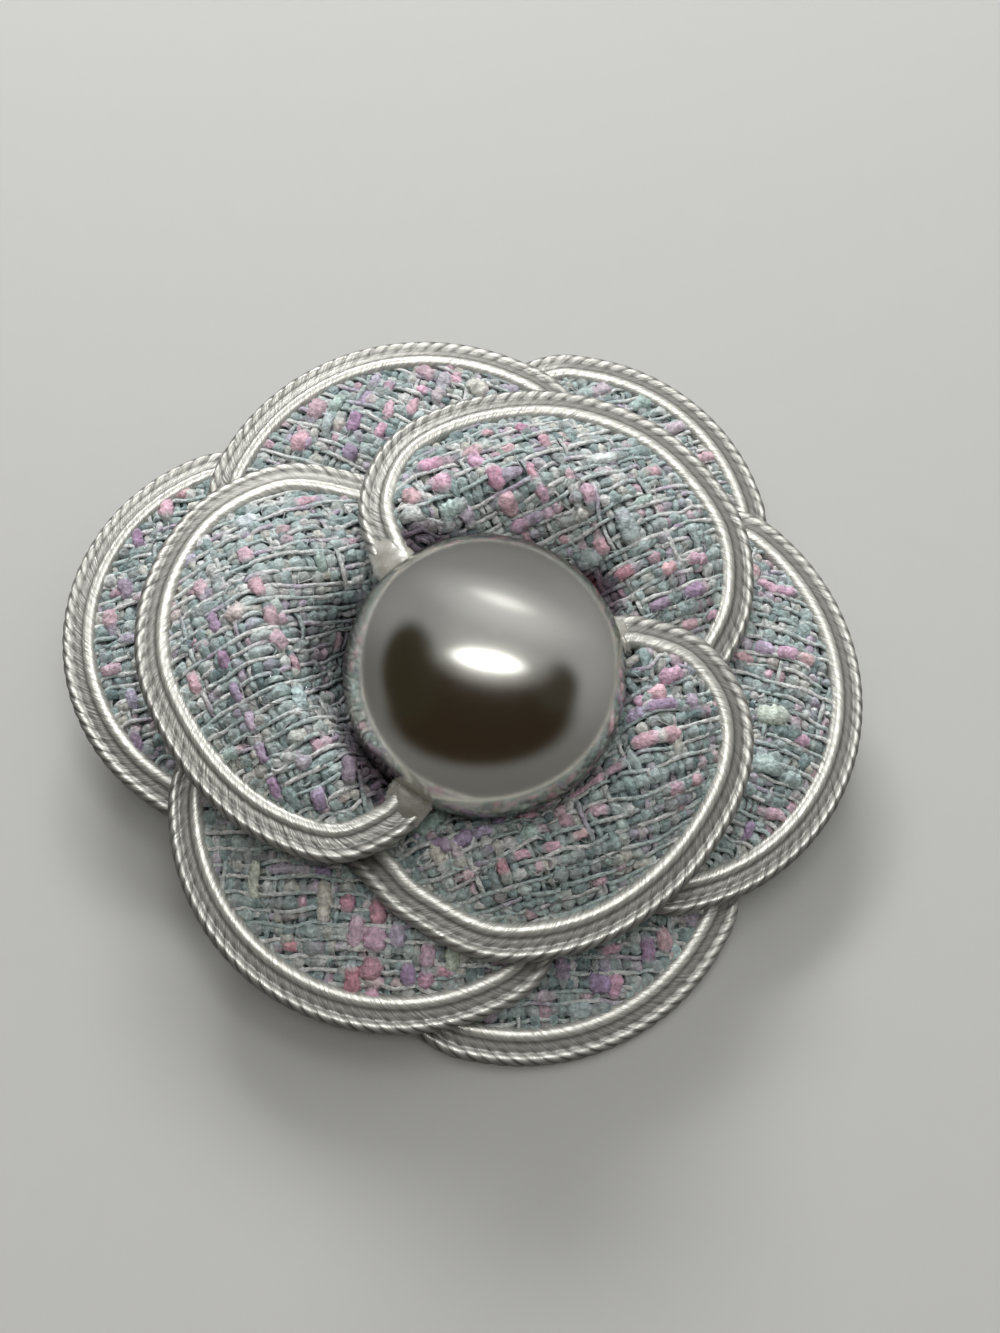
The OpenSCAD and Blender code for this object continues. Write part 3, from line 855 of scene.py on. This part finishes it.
# Coloured slubs that stand out in each petal's cloth, at the places of the camera's frame where they show.
# Columns: x, y, way of the yarn, length, dye, times as thick
SLUBS = {
    "inner_top": [
        [428, 465, "row", 1.7, "pink", 1.4], [441, 484, "column", 1.4, "pink", 1.9],
        [415, 498, "column", 1.3, "pink", 1.4], [467, 449, "row", 1.7, "pink", 1.2],
        [474, 463, "column", 1.6, "pink", 1.6], [492, 480, "column", 1.4, "rose", 1.6],
        [509, 502, "column", 1.7, "pink", 1.8], [521, 525, "row", 1.7, "pink", 1.4],
        [490, 438, "row", 1.0, "pink", 1.2], [508, 452, "row", 1.3, "pink", 1.2],
        [523, 431, "column", 0.9, "rose", 1.1], [538, 444, "column", 1.4, "pink", 1.4],
        [527, 474, "column", 1.2, "pink", 1.2], [538, 493, "column", 1.4, "pink", 1.5],
        [551, 511, "column", 1.2, "pink", 1.5], [571, 476, "column", 1.2, "pink", 1.2],
        [585, 495, "column", 1.3, "pink", 1.4], [607, 543, "column", 1.3, "pink", 1.5],
        [466, 515, "column", 1.4, "lilac", 1.8], [537, 521, "row", 1.3, "lilac", 1.4],
        [565, 542, "row", 1.2, "pink", 1.2], [651, 474, "row", 1.0, "pink", 1.2],
        [695, 561, "row", 1.7, "pink", 1.4], [667, 569, "row", 1.6, "pink", 1.5],
        [692, 591, "row", 1.7, "purple", 1.5], [707, 610, "row", 1.3, "pink", 1.4],
        [686, 617, "row", 1.6, "pink", 1.4], [658, 599, "row", 1.6, "purple", 1.2],
        [626, 582, "row", 1.7, "rose", 1.2], [445, 500, "row", 1.7, "aqua", 1.5],
        [622, 531, "column", 1.9, "aqua", 1.8], [590, 556, "row", 1.7, "aqua", 1.9],
        [600, 460, "row", 2.2, "white", 1.2], [640, 500, "row", 2.2, "aqua", 1.2]],
    "inner_right": [
        [465, 841, "row", 1.6, "purple", 1.5], [443, 850, "row", 1.3, "purple", 1.5],
        [482, 833, "row", 1.3, "lilac", 1.2], [502, 827, "row", 1.6, "purple", 1.4],
        [524, 820, "row", 1.9, "pink", 1.2], [546, 809, "row", 1.4, "pink", 1.4],
        [554, 801, "row", 1.2, "lilac", 1.2], [580, 795, "row", 1.9, "pink", 1.2],
        [600, 785, "row", 1.4, "pink", 1.4], [617, 775, "row", 1.3, "pink", 1.2],
        [552, 843, "row", 1.4, "pink", 1.2], [525, 858, "row", 1.3, "pink", 1.2],
        [508, 864, "column", 0.9, "rose", 1.1], [580, 830, "row", 1.3, "pink", 1.2],
        [600, 812, "row", 1.2, "pink", 1.1], [507, 806, "row", 1.7, "aqua", 2.1],
        [532, 794, "row", 1.9, "aqua", 2.1], [474, 817, "row", 1.6, "teal", 1.9],
        [430, 830, "row", 2.3, "aqua", 1.8], [560, 783, "row", 1.6, "aqua", 1.9],
        [583, 771, "row", 1.9, "aqua", 2.1], [605, 757, "row", 1.7, "aqua", 1.6],
        [531, 836, "row", 1.3, "aqua", 1.5], [458, 846, "column", 1.4, "cream", 1.2],
        [436, 853, "column", 1.4, "cream", 1.4], [670, 683, "row", 1.4, "pink", 1.5],
        [655, 690, "row", 1.2, "pink", 1.5], [668, 711, "row", 2.0, "purple", 1.6],
        [640, 722, "row", 1.7, "lilac", 1.6], [636, 705, "column", 1.4, "pink", 1.5],
        [672, 731, "row", 1.4, "pink", 1.4], [650, 745, "row", 1.7, "pink", 1.4],
        [690, 700, "column", 1.2, "lilac", 1.2], [676, 792, "row", 1.2, "pink", 1.4],
        [692, 776, "row", 1.0, "pink", 1.2]],
    "inner_left": [
        [190, 560, "column", 1.9, "lilac", 1.5], [203, 590, "column", 1.7, "pink", 1.2],
        [215, 625, "column", 2.2, "purple", 1.5], [228, 658, "column", 2.0, "purple", 1.6],
        [240, 690, "column", 1.9, "purple", 1.5], [252, 722, "column", 1.9, "lilac", 1.5],
        [266, 752, "column", 1.7, "purple", 1.4], [280, 785, "column", 1.9, "purple", 1.5],
        [240, 560, "column", 1.7, "pink", 1.4], [253, 590, "column", 1.6, "pink", 1.2],
        [266, 618, "column", 1.6, "pink", 1.4], [280, 640, "column", 1.7, "pink", 1.5],
        [290, 665, "column", 1.6, "pink", 1.2], [232, 502, "row", 1.9, "cream", 1.4],
        [246, 524, "row", 1.6, "white", 1.5], [205, 545, "row", 1.6, "white", 1.2],
        [238, 622, "row", 1.4, "cream", 1.8], [305, 505, "row", 1.7, "pink", 1.1],
        [320, 560, "column", 1.7, "aqua", 1.5], [230, 745, "row", 1.7, "aqua", 1.6],
        [262, 640, "row", 1.4, "aqua", 1.6], [300, 700, "column", 1.9, "aqua", 1.5],
        [200, 680, "column", 1.7, "pink", 1.2], [330, 640, "column", 1.6, "pink", 1.1],
        [300, 760, "column", 1.4, "lilac", 1.5], [322, 800, "column", 1.4, "purple", 1.4],
        [345, 770, "column", 1.7, "lilac", 1.2]],
    "middle_top": [
        [316, 412, "column", 2.0, "pink", 1.8], [303, 445, "column", 1.9, "pink", 1.8],
        [366, 400, "column", 1.7, "purple", 1.5], [358, 424, "column", 2.2, "purple", 1.8],
        [349, 454, "column", 1.3, "purple", 1.5], [374, 383, "column", 1.3, "lilac", 1.4],
        [386, 410, "column", 1.9, "pink", 1.4], [380, 432, "column", 1.7, "pink", 1.4],
        [393, 392, "column", 1.2, "pink", 1.2], [412, 410, "column", 1.4, "pink", 1.5],
        [422, 392, "row", 1.3, "pink", 1.2], [425, 375, "row", 1.7, "pink", 1.4],
        [444, 382, "column", 1.4, "lilac", 1.5], [440, 398, "column", 1.4, "lilac", 1.4],
        [455, 380, "row", 1.2, "pink", 1.2], [477, 392, "row", 1.6, "cream", 2.0],
        [303, 447, "row", 1.3, "lilac", 1.4], [340, 404, "column", 2.2, "aqua", 1.6],
        [330, 425, "column", 1.9, "aqua", 1.5]],
    "middle_right": [
        [765, 585, "row", 2.0, "pink", 1.4], [785, 592, "row", 1.7, "pink", 1.4],
        [755, 575, "column", 1.4, "pink", 1.2], [745, 652, "row", 1.7, "pink", 1.4],
        [765, 648, "row", 1.7, "lilac", 1.4], [785, 652, "row", 1.7, "pink", 1.4],
        [805, 655, "row", 1.6, "pink", 1.2], [770, 718, "row", 2.2, "cream", 1.9],
        [800, 735, "row", 1.7, "pink", 1.2], [765, 765, "row", 2.0, "aqua", 1.9],
        [790, 775, "row", 1.7, "aqua", 1.8], [745, 830, "column", 1.6, "purple", 1.4],
        [770, 812, "row", 1.6, "pink", 1.2], [735, 870, "row", 1.4, "lilac", 1.2]],
    "middle_left": [
        [330, 910, "column", 1.7, "pink", 1.4], [352, 935, "column", 2.2, "pink", 1.5],
        [374, 915, "column", 1.9, "rose", 1.5], [374, 940, "column", 1.7, "pink", 1.9],
        [376, 968, "column", 1.9, "rose", 2.0], [348, 975, "column", 1.9, "rose", 1.5],
        [376, 995, "column", 1.3, "pink", 1.5], [350, 905, "column", 1.4, "rose", 1.4],
        [402, 938, "column", 1.6, "lilac", 1.5], [405, 975, "column", 1.6, "purple", 1.5],
        [428, 955, "column", 1.7, "pink", 1.5], [428, 980, "column", 1.6, "pink", 1.5],
        [445, 965, "row", 1.3, "pink", 1.2], [455, 960, "column", 1.6, "cream", 1.4],
        [292, 950, "row", 1.3, "rose", 1.1], [325, 900, "column", 3.2, "cream", 1.4],
        [262, 880, "column", 3.2, "cream", 1.5], [280, 872, "row", 1.7, "lilac", 1.4],
        [300, 872, "row", 1.7, "lilac", 1.4], [320, 878, "row", 1.4, "purple", 1.2]],
    "outer_right": [
        [610, 955, "row", 1.7, "pink", 1.4], [597, 975, "row", 1.9, "purple", 1.8],
        [640, 950, "column", 1.9, "purple", 1.5], [620, 985, "column", 1.9, "pink", 1.4],
        [662, 940, "column", 2.0, "pink", 1.5], [560, 970, "column", 1.9, "purple", 1.4],
        [545, 1000, "row", 1.7, "lilac", 1.5], [580, 1005, "row", 1.7, "aqua", 1.6],
        [640, 990, "row", 1.7, "pink", 1.2], [675, 955, "column", 1.7, "aqua", 1.5]],
    "outer_left": [
        [112, 560, "row", 1.6, "pink", 1.4], [125, 590, "column", 1.9, "purple", 1.6],
        [110, 620, "column", 1.7, "pink", 1.5], [130, 640, "row", 1.6, "lilac", 1.4],
        [112, 670, "row", 1.7, "pink", 1.2], [132, 700, "column", 1.7, "lilac", 1.5],
        [145, 740, "column", 1.7, "purple", 1.4], [140, 540, "column", 1.9, "purple", 1.5],
        [165, 510, "column", 1.7, "pink", 1.4], [185, 500, "row", 1.4, "pink", 1.4]],
    "outer_top": [
        [600, 392, "row", 1.7, "lilac", 1.4], [640, 410, "row", 1.9, "aqua", 1.6],
        [675, 435, "row", 1.7, "lilac", 1.4], [705, 462, "row", 1.7, "pink", 1.2]]}


def knotted(along, rng, every, low, high):
    """Values that wander between low and high, with a new one every few millimetres."""
    knots = np.arange(along[0], along[-1] + 2 * every, every)
    return np.interp(along, knots, rng.uniform(low, high, len(knots)))


def make_tweed(petal, seed):
    """One padded petal: its stuffed ground cloth, and on it the tweed woven yarn over yarn."""
    rng = np.random.default_rng(seed)
    cover = FlatCloth(petal)
    skin = Skin()
    add_padding(skin, petal)
    low, high = cover.flat.reshape(-1, 2).min(axis=0), cover.flat.reshape(-1, 2).max(axis=0)
    rows = sequence(ROWS, low[1], high[1], rng)
    columns = sequence(COLUMNS, low[0], high[0], rng)
    row_at, column_at = np.array([r[0] for r in rows]), np.array([c[0] for c in columns])
    over = np.where((np.arange(len(rows))[:, None] + np.arange(len(columns))) % 2, 1.0, -1.0)
    over *= np.where(rng.random(over.shape) < SKIPS, -1, 1)
    thin_rows = np.array([kind == "thin" for _, kind in rows])[:, None]
    thin_columns = np.array([kind == "thin" for _, kind in columns])
    over[thin_rows & (rng.random(over.shape) < THIN_ROW_OVER)] = 1
    over[thin_columns & ~thin_rows & (rng.random(over.shape) < THIN_COLUMN_OVER)] = -1
    marks = {"row": {}, "column": {}}
    for x, y, way, length, dye, thick in SLUBS[petal.name]:
        seen = cover.seen_at(x, y)
        if seen is None:
            continue
        lines, crossing = (rows, column_at) if way == "row" else (columns, row_at)
        centre, off = seen if way == "row" else seen[::-1]
        thick_lines = [n for n, (_, kind) in enumerate(lines) if kind != "thin"]
        nearest = min(thick_lines, key=lambda n: abs(lines[n][0] - off))
        covered = np.abs(crossing - centre) < max(length * SLUB_LENGTH / 2 - SLUB_BARE, SLUB_COVER)
        if way == "row":
            over[nearest, covered] = 1
        else:
            over[covered, nearest] = -1
        mark = (centre, length * SLUB_LENGTH, DYES_AND_SHADES[dye] * rng.uniform(*SLUB_LIGHT, 3), thick * SLUB_THICK)
        marks[way].setdefault(nearest, []).append(mark)
    for way, lines, crossing in (("row", rows, column_at), ("column", columns, row_at)):
        reach = (low[0], high[0]) if way == "row" else (low[1], high[1])
        along = np.arange(reach[0], reach[1], STITCH)
        for n, (at, kind) in enumerate(lines):
            crossed = over[n] if way == "row" else -over[:, n]
            rise = np.sin(np.interp(along, crossing, crossed) * np.pi / 2)
            add_yarn(skin, cover, way, at, kind, along, rise, marks[way].get(n, []), rng)
    add_curls(skin, cover, low, high, rng)
    made = skin.piece("petal_" + petal.name + "_tweed", [GROUND, YARN, GLITTER, LINING])
    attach(made, "root")
    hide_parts("petal_" + petal.name)


# How far from the pearl the cloth is still in its painted violet shade, and over what length this fades
SHADE_REACH = {"inner_top": 3.6, "inner_right": 1.5, "inner_left": 2.6}
SHADE_FADE = 1.3
# The painted shade starts here on the way to the foot, deepens over this part of it, hides this much of the
# dyes, and is this light
SHADE_FROM, SHADE_OVER, SHADE_DEPTH, SHADE_LIGHT = 0.62, 0.22, 0.85, 0.8
# Dark folds further out, with shade painted into them. Columns: petal, place along the edge and to the foot,
# spread each way, shade colour, how deep
DARK_FOLDS = [
    ["inner_left", 0.50, 0.62, 0.50, 0.20, "deep_shade", 0.55],
    ["inner_top", 0.70, 0.54, 0.17, 0.13, "violet_shade", 0.85],
    ["inner_top", 0.64, 0.57, 0.07, 0.09, "maroon_shade", 0.85]]


def shadowed(petal, point, spot, colour):
    """Yarn's colour with shade painted into it: deep violet by the pearl, darker shade colours in the dark
    folds.
    """
    if petal.name not in SHADE_REACH:
        return colour
    off_pearl = np.linalg.norm(point - np.array([0, 0, PEARL_Z]), axis=-1) - PEARL_D / 2
    by_pearl = ease((SHADE_REACH[petal.name] - off_pearl) / SHADE_FADE)
    deep = np.maximum(by_pearl, ease((spot[:, 1] - SHADE_FROM) / SHADE_OVER))
    for name, at_u, at_t, spread_u, spread_t, dye, strength in DARK_FOLDS:
        if name == petal.name:
            fold = ease(1.8 * bump((spot[:, 0] - at_u) / spread_u) * bump((spot[:, 1] - at_t) / spread_t))
            colour = mix(colour, DYES_AND_SHADES[dye], fold[:, None] * strength)
    return mix(colour, DYES_AND_SHADES["violet_shade"] * SHADE_LIGHT, deep[:, None] * SHADE_DEPTH)


def section_ways(centres, normals):
    """Sideways and upward directions of the sections of a strand on the cloth."""
    way_on = unit(np.gradient(centres, axis=0))
    side = unit(np.cross(way_on, normals))
    return side, unit(np.cross(side, way_on))


def add_yarn(skin, cover, way, at, kind, along, rise, marks, rng):
    """One yarn of the weave, wherever it lies on the cloth. rise is 1 where it floats and -1 where it dips.
    marks has the centre, length, dye and thickness of each of its slubs."""
    yarn = YARNS[kind]
    thin = kind == "thin"
    knots = np.arange(along[0], along[-1] + 6, DYE_RUN)
    dyes = np.array([DYES_AND_SHADES[yarn.dyes[c]] for c in rng.integers(0, len(yarn.dyes), len(knots))])
    dye = np.stack([np.interp(along, knots, dyes[:, c]) for c in range(3)], axis=-1)
    lumpy = knotted(along, rng, *SWELLING)
    soft = rng.uniform(*STITCH_LIGHT, len(along))
    line = at + knotted(along, rng, *SWAY)
    proud = np.zeros(len(along))
    for centre, length, slub_dye, thick in marks:
        here = ease((length / 2 - np.abs(along - centre)) / SLUB_FADE + 0.5)
        plump = np.sqrt(np.clip(1 - ((along - centre) / (length * PLUMP_TIMES + PLUMP_MORE)) ** 4, 0, 1))
        dye = mix(dye, slub_dye, here[:, None])
        lumpy = mix(lumpy, thick * plump, here)
        rise = mix(rise, np.maximum(rise, SLUB_FLOAT), here)
        proud = np.maximum(proud, plump * SLUB_PROUD)
    lift = knotted(along, rng, *THIN_RISE) if thin else proud
    spots = np.stack([along, line] if way == "row" else [line, along], axis=-1)
    inside, point, normal, spot = cover.locate(spots)
    uneven = knotted(along, rng, *THIN_SWELLING) if thin else lumpy
    half = mix(yarn.narrow, yarn.wide, (rise + 1) / 2) * uneven
    centre = point + normal * (LIFT + WAVE * rise + lift)[:, None]
    gap = np.r_[0, np.linalg.norm(np.diff(point, axis=0), axis=1)]
    ends = np.flatnonzero(~inside | (gap > YARN_JUMP))
    for start, stop in zip(np.r_[-1, ends] + 1, np.r_[ends, len(along)]):
        if stop - start < FEWEST:
            continue
        part = slice(start, stop)
        side, up = section_ways(centre[part], normal[part])
        # Painted shade: the yarn is darker where it dips under the yarns that cross it
        shade = mix(yarn.lowest, 1.0, ease((rise[part] + 1.2) / 2)) * soft[part]
        colour = shadowed(cover.petal, point[part], spot[part], dye[part] * shade[:, None])
        rough = rng.uniform(-1, 1, (2, stop - start, yarn.sides)) * yarn.uneven
        add_tube(skin, centre[part], side, up, half[part], half[part] * yarn.tall, colour, WOVEN,
                 yarn.sides, rough)


def add_strand(skin, cover, spots, half, height, dye, finish, sides):
    """A loose thread over flat places of the cloth, if all of it lies there."""
    inside, point, normal, spot = cover.locate(spots)
    if not inside.all() or spot[:, 1].min() < 0.01:
        return
    centre = point + normal * height[:, None]
    if np.linalg.norm(np.diff(centre, axis=0), axis=1).max() > STRAND_JUMP:
        return
    side, up = section_ways(centre, normal)
    # Painted shade: violet by the pearl and darker in the dark folds
    colour = shadowed(cover.petal, point, spot, np.broadcast_to(dye, centre.shape))
    half = half * np.sin(np.linspace(0.25, np.pi - 0.25, len(centre))) ** 0.4
    add_tube(skin, centre, side, up, half, half * 0.8, colour, finish, sides)


# Loose bits on each square centimetre of cloth: curls of yarn, fine threads and silver glints
CURLS, THREADS, GLINTS = 14, 90, 7
# Least and greatest radius, half width, turn, squash and lightness of a curl
CURL_RADIUS, CURL_HALF, CURL_TURN = (0.24, 0.52), (0.09, 0.19), (130, 300)
CURL_SQUASH, CURL_LIGHT = (0.6, 1), (0.85, 1.05)
# Least and greatest length, half width, bend, height and lightness of a thread or a glint
THREAD_LENGTH, GLINT_LENGTH, THREAD_HALF = (0.6, 2.4), (0.35, 0.8), (0.025, 0.06)
THREAD_BEND, THREAD_RISE, THREAD_LIGHT = (-0.5, 0.5), (0.20, 0.34), (0.75, 1.0)
CURL_POINTS, THREAD_POINTS = 10, 5


def arched(rise, height, points):
    """Heights of a loose bit over the padding: its ends lie on the yarns, and its middle stands out."""
    return LIFT + rise + height * np.sin(np.linspace(0, np.pi, points))


def add_curls(skin, cover, low, high, rng):
    """Loose curls, threads and glints, strewn over the cloth."""
    area = np.prod(high - low) / 100
    for _ in range(int(CURLS * area)):
        middle = rng.uniform(low, high)
        radius, thick = rng.uniform(*CURL_RADIUS), rng.uniform(*CURL_HALF)
        turn = np.linspace(0, np.radians(rng.uniform(*CURL_TURN)), CURL_POINTS) + rng.uniform(0, 6.3)
        spots = middle + radius * np.stack([np.cos(turn), np.sin(turn) * rng.uniform(*CURL_SQUASH)], axis=-1)
        dye = DYES_AND_SHADES[LIGHT_DYES[rng.integers(0, len(LIGHT_DYES))]] * rng.uniform(*CURL_LIGHT)
        add_strand(skin, cover, spots, thick, arched(0.16, 0.20, CURL_POINTS), dye, WOVEN, 5)
    for finish, number, lengths in ((WOVEN, THREADS, THREAD_LENGTH), (SILVER, GLINTS, GLINT_LENGTH)):
        for _ in range(int(number * area)):
            start = rng.uniform(low, high)
            angle, bend = rng.uniform(0, 2 * np.pi), rng.uniform(*THREAD_BEND)
            run = np.linspace(0, rng.uniform(*lengths), THREAD_POINTS)
            aim = angle + bend * run * (finish == WOVEN)
            spots = start + run[:, None] * np.stack([np.cos(aim), np.sin(aim)], axis=-1)
            wide = rng.uniform(*THREAD_HALF)
            arch = arched(rng.uniform(*THREAD_RISE), 0.1, THREAD_POINTS)
            dye = DYES_AND_SHADES["white"] * rng.uniform(*THREAD_LIGHT)
            add_strand(skin, cover, spots, wide, arch, dye, finish, 3)


# Padding above and below the middle of a petal, under its woven cover, and its steps along and to the foot
OVER, UNDER, PADDING_STEPS = 0.30, 0.85, (61, 24)
# The rim is rounded over one part in this many of the way to the foot, and starts this thick
RIM_PART, RIM_START = 6, 0.25


def add_padding(skin, petal):
    """The stuffed petal under its woven cover: a closed cushion with a rounded rim."""
    u = np.linspace(0, 1, PADDING_STEPS[0])
    t = np.r_[-TUCK_STEP, np.linspace(-TUCK_STEP / 2, 1, PADDING_STEPS[1])]
    middle = cloth(petal, u[:, None], t[None, :])
    normal = grid_normals(middle)
    rim = np.minimum(1, np.linspace(0, 1, len(t)) * RIM_PART) ** 0.5
    rim[0] = RIM_START
    top = middle + normal * (OVER * rim)[:, None]
    under = middle - normal * (UNDER * rim)[:, None]
    ring = np.concatenate([top[:, ::-1], under], axis=1)
    count = ring.shape[1]
    spot = np.stack(np.broadcast_arrays(u[:, None], t[None, :]), axis=-1).reshape(-1, 2)
    # Painted shade on the padding's top: violet by the pearl and darker in the dark folds
    shade = shadowed(petal, middle.reshape(-1, 3), spot, np.ones((len(spot), 3))).reshape(middle.shape)
    dye = np.concatenate([shade[:, ::-1], np.ones(under.shape)], axis=1)
    first = skin.add_points(ring, dye.reshape(-1, 3))
    i, k, faces = wrapped(len(u), count)
    uvs = np.stack([k, i, k + 1, i, k + 1, i + 1, k, i + 1], axis=-1) * 0.1
    skin.add_faces(faces + first, uvs, np.where(k.ravel() < len(t), BASE, LINED))
    end = np.arange(count)
    skin.add_faces([end[::-1] + first], np.zeros((count, 2)), BASE)
    skin.add_faces([end + first + (len(u) - 1) * count], np.zeros((count, 2)), BASE)


def dress_nodes():
    """Gives the nodes that keep their shape their materials."""
    for name, material in (("pearl", NACRE), ("backing_disc", BACKING), ("brooch_pin", PIN_METAL)):
        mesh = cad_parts[name].data
        mesh.materials.clear()
        mesh.materials.append(material)


def add_light(name, size, power, way, distance, lit=None):
    """Soft light of that size in millimetres, which faces the pearl from that way and distance. It lights the
    pieces in lit, or else all but the pearl, which mirrors the room instead."""
    light = bpy.data.lights.new(name, "AREA")
    light.shape = "RECTANGLE"
    light.size, light.size_y = size[0] * MM, size[1] * MM
    light.energy = power
    made = bpy.data.objects.new(name, light)
    bpy.context.collection.objects.link(made)
    made.location = (np.array([0, 0, PEARL_Z]) + way * distance) * MM
    facing = Vector(way).to_track_quat("Z", "Y")
    made.rotation_euler = facing.to_euler()
    reach = bpy.data.collections.new(name + "_reach")
    for piece in lit or [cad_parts["pearl"]]:
        reach.objects.link(piece)
    if lit is None:
        reach.collection_objects[0].light_linking.link_state = "EXCLUDE"
    made.light_linking.receiver_collection = reach


def pearl_mirror(right, up):
    """Way to what the pearl mirrors at a place of its face, given from its middle as parts of its radius."""
    view = unit(CAMERA_OFFSET)
    normal = right * CAMERA_RIGHT + up * CAMERA_UP + np.sqrt(1 - right**2 - up**2) * view
    return 2 * (normal @ view) * normal - view


def glow_group():
    """Soft ellipse on the pearl's face: 1 inside, 0 outside. Centre, radii, turn and softness are inputs."""
    tree, given, out = new_group(
        "glow",
        [("Face", "Vector", None), ("Centre", "Vector", (0, 0, 0)), ("Radii", "Vector", (1, 1, 1)),
         ("Turn", "Float", 0.0), ("Soft", "Float", 0.2)],
        [("Value", "Float")])
    local = add(tree, "VectorMath", {"operation": "SUBTRACT"}, _0=given.outputs["Face"],
                _1=given.outputs["Centre"])
    turned = add(tree, "VectorRotate", {"rotation_type": "Z_AXIS"}, Vector=local.outputs[0],
                 Angle=given.outputs["Turn"])
    scaled = add(tree, "VectorMath", {"operation": "DIVIDE"}, _0=turned.outputs[0], _1=given.outputs["Radii"])
    far = add(tree, "VectorMath", {"operation": "LENGTH"}, _0=scaled.outputs[0])
    start = add(tree, "Math", {"operation": "SUBTRACT"}, _0=1.0, _1=given.outputs["Soft"])
    end = add(tree, "Math", {"operation": "ADD"}, _0=1.0, _1=given.outputs["Soft"])
    made = add(tree, "MapRange", {"interpolation_type": "SMOOTHSTEP"}, Value=far.outputs["Value"],
               From_Min=start.outputs[0], From_Max=end.outputs[0], To_Min=1.0, To_Max=0.0)
    feed(tree, out.inputs["Value"], made.outputs[0])
    return tree


# What the pearl mirrors at each place of its face, from the broadest glow to the lamps. Columns: centre to
# the right and up, radii, both in parts of the pearl's radius, turn, softness, colour
ROOM = [
    [(0.72, 0.25), (0.34, 0.42), 0, 0.8, (0.34, 0.34, 0.335)],
    [(-0.50, 0.62), (0.36, 0.28), 35, 0.8, (0.28, 0.28, 0.28)],
    [(-0.88, -0.05), (0.24, 0.40), 0, 0.7, (0.145, 0.142, 0.132)],
    [(-0.02, -0.22), (0.64, 0.38), 0, 0.12, (0.030, 0.021, 0.012)],
    [(-0.50, 0.05), (0.20, 0.34), 0, 0.18, (0.034, 0.028, 0.016)],
    [(0.50, -0.05), (0.15, 0.17), 0, 0.35, (0.044, 0.038, 0.027)],
    [(0.10, 0.34), (0.40, 0.32), -12, 0.45, (0.38, 0.38, 0.37)],
    [(0.05, 0.12), (0.25, 0.10), -10, 1.0, (0.50, 0.49, 0.46)],
    [(0.16, 0.47), (0.38, 0.11), -20, 1.0, (0.62, 0.62, 0.61)],
    [(0.13, 0.53), (0.17, 0.03), -19, 0.9, (1.3, 1.3, 1.27)],
    [(0.03, 0.125), (0.18, 0.045), -11, 0.8, (5.5, 5.5, 5.3)]]


def make_room():
    """The room's light as the pearl mirrors it: dark in front, lamps overhead and behind."""
    world = bpy.data.worlds.new("room")
    world.use_nodes = True
    bpy.context.scene.world = world
    tree = world.node_tree
    way = add(tree, "TexCoord").outputs["Generated"]
    half = add(tree, "VectorMath", {"operation": "ADD"}, _0=way, _1=tuple(unit(CAMERA_OFFSET))).outputs[0]
    normal = add(tree, "VectorMath", {"operation": "NORMALIZE"}, _0=half).outputs[0]
    dots = [add(tree, "VectorMath", {"operation": "DOT_PRODUCT"}, _0=normal, _1=tuple(axis))
            for axis in (CAMERA_RIGHT, CAMERA_UP)]
    right, up = [dot.outputs["Value"] for dot in dots]
    face = add(tree, "CombineXYZ", X=right, Y=up).outputs[0]
    group = glow_group()
    tint = mixed(tree, spread(tree, up, -0.75, 0.45), rgba((0.150, 0.146, 0.136)), rgba((0.25, 0.25, 0.248)))
    for centre, radii, turn, soft, colour in ROOM:
        glow = use(tree, group, Face=face, Centre=(*centre, 0), Radii=(*radii, 1), Turn=np.radians(-turn),
                   Soft=soft)
        tint = mixed(tree, glow, tint, rgba(colour))
    # Beyond the paper's edge the room itself is plain and pale
    seen = add(tree, "LightPath").outputs["Is Camera Ray"]
    feed(tree, tree.nodes["Background"].inputs["Color"], mixed(tree, seen, tint, rgba((0.62, 0.62, 0.61))))
    tree.nodes["Background"].inputs["Strength"].default_value = 0.84


FLOOR_SIZE = 3.0
# Columns: name, size, watts, where the pearl would mirror it, distance. The last one lights only the braids
LAMPS = [
    ("overhead", (200, 80), 0.14, (0.05, 0.26), 330),
    ("window", (200, 80), 0.92, (-0.08, 0.64), 380),
    ("satin_shine", (170, 130), 0.50, (0.0, 0.16), 330)]


def make_stage(braids):
    """Pale floor, soft light from above and behind, and one more lamp for the braids' shine."""
    bpy.ops.mesh.primitive_plane_add(size=FLOOR_SIZE, location=(0, 0, 0))
    floor = bpy.context.object
    floor.name = "floor"
    floor.data.materials.append(plain_material("floor_paper", (208, 208, 206), 0.9, darkest=0.98))
    # The brooch is lit by the room's painted floor instead, which is darker than this paper
    floor.visible_glossy = False
    floor.visible_diffuse = False
    for name, size, power, place_on_pearl, distance in LAMPS:
        lit = braids if name == "satin_shine" else None
        add_light(name, size, power, pearl_mirror(*place_on_pearl), distance, lit)
    make_room()
    bpy.context.scene.view_settings.view_transform = "Standard"


made_braids = []
for number, each in enumerate(PETALS):
    made_braids.append(make_braid(each, number))
    if each.name in GLUED_ENDS:
        make_glue(each, 200 + number)
    make_tweed(each, 100 + number)
dress_nodes()
make_stage(made_braids)
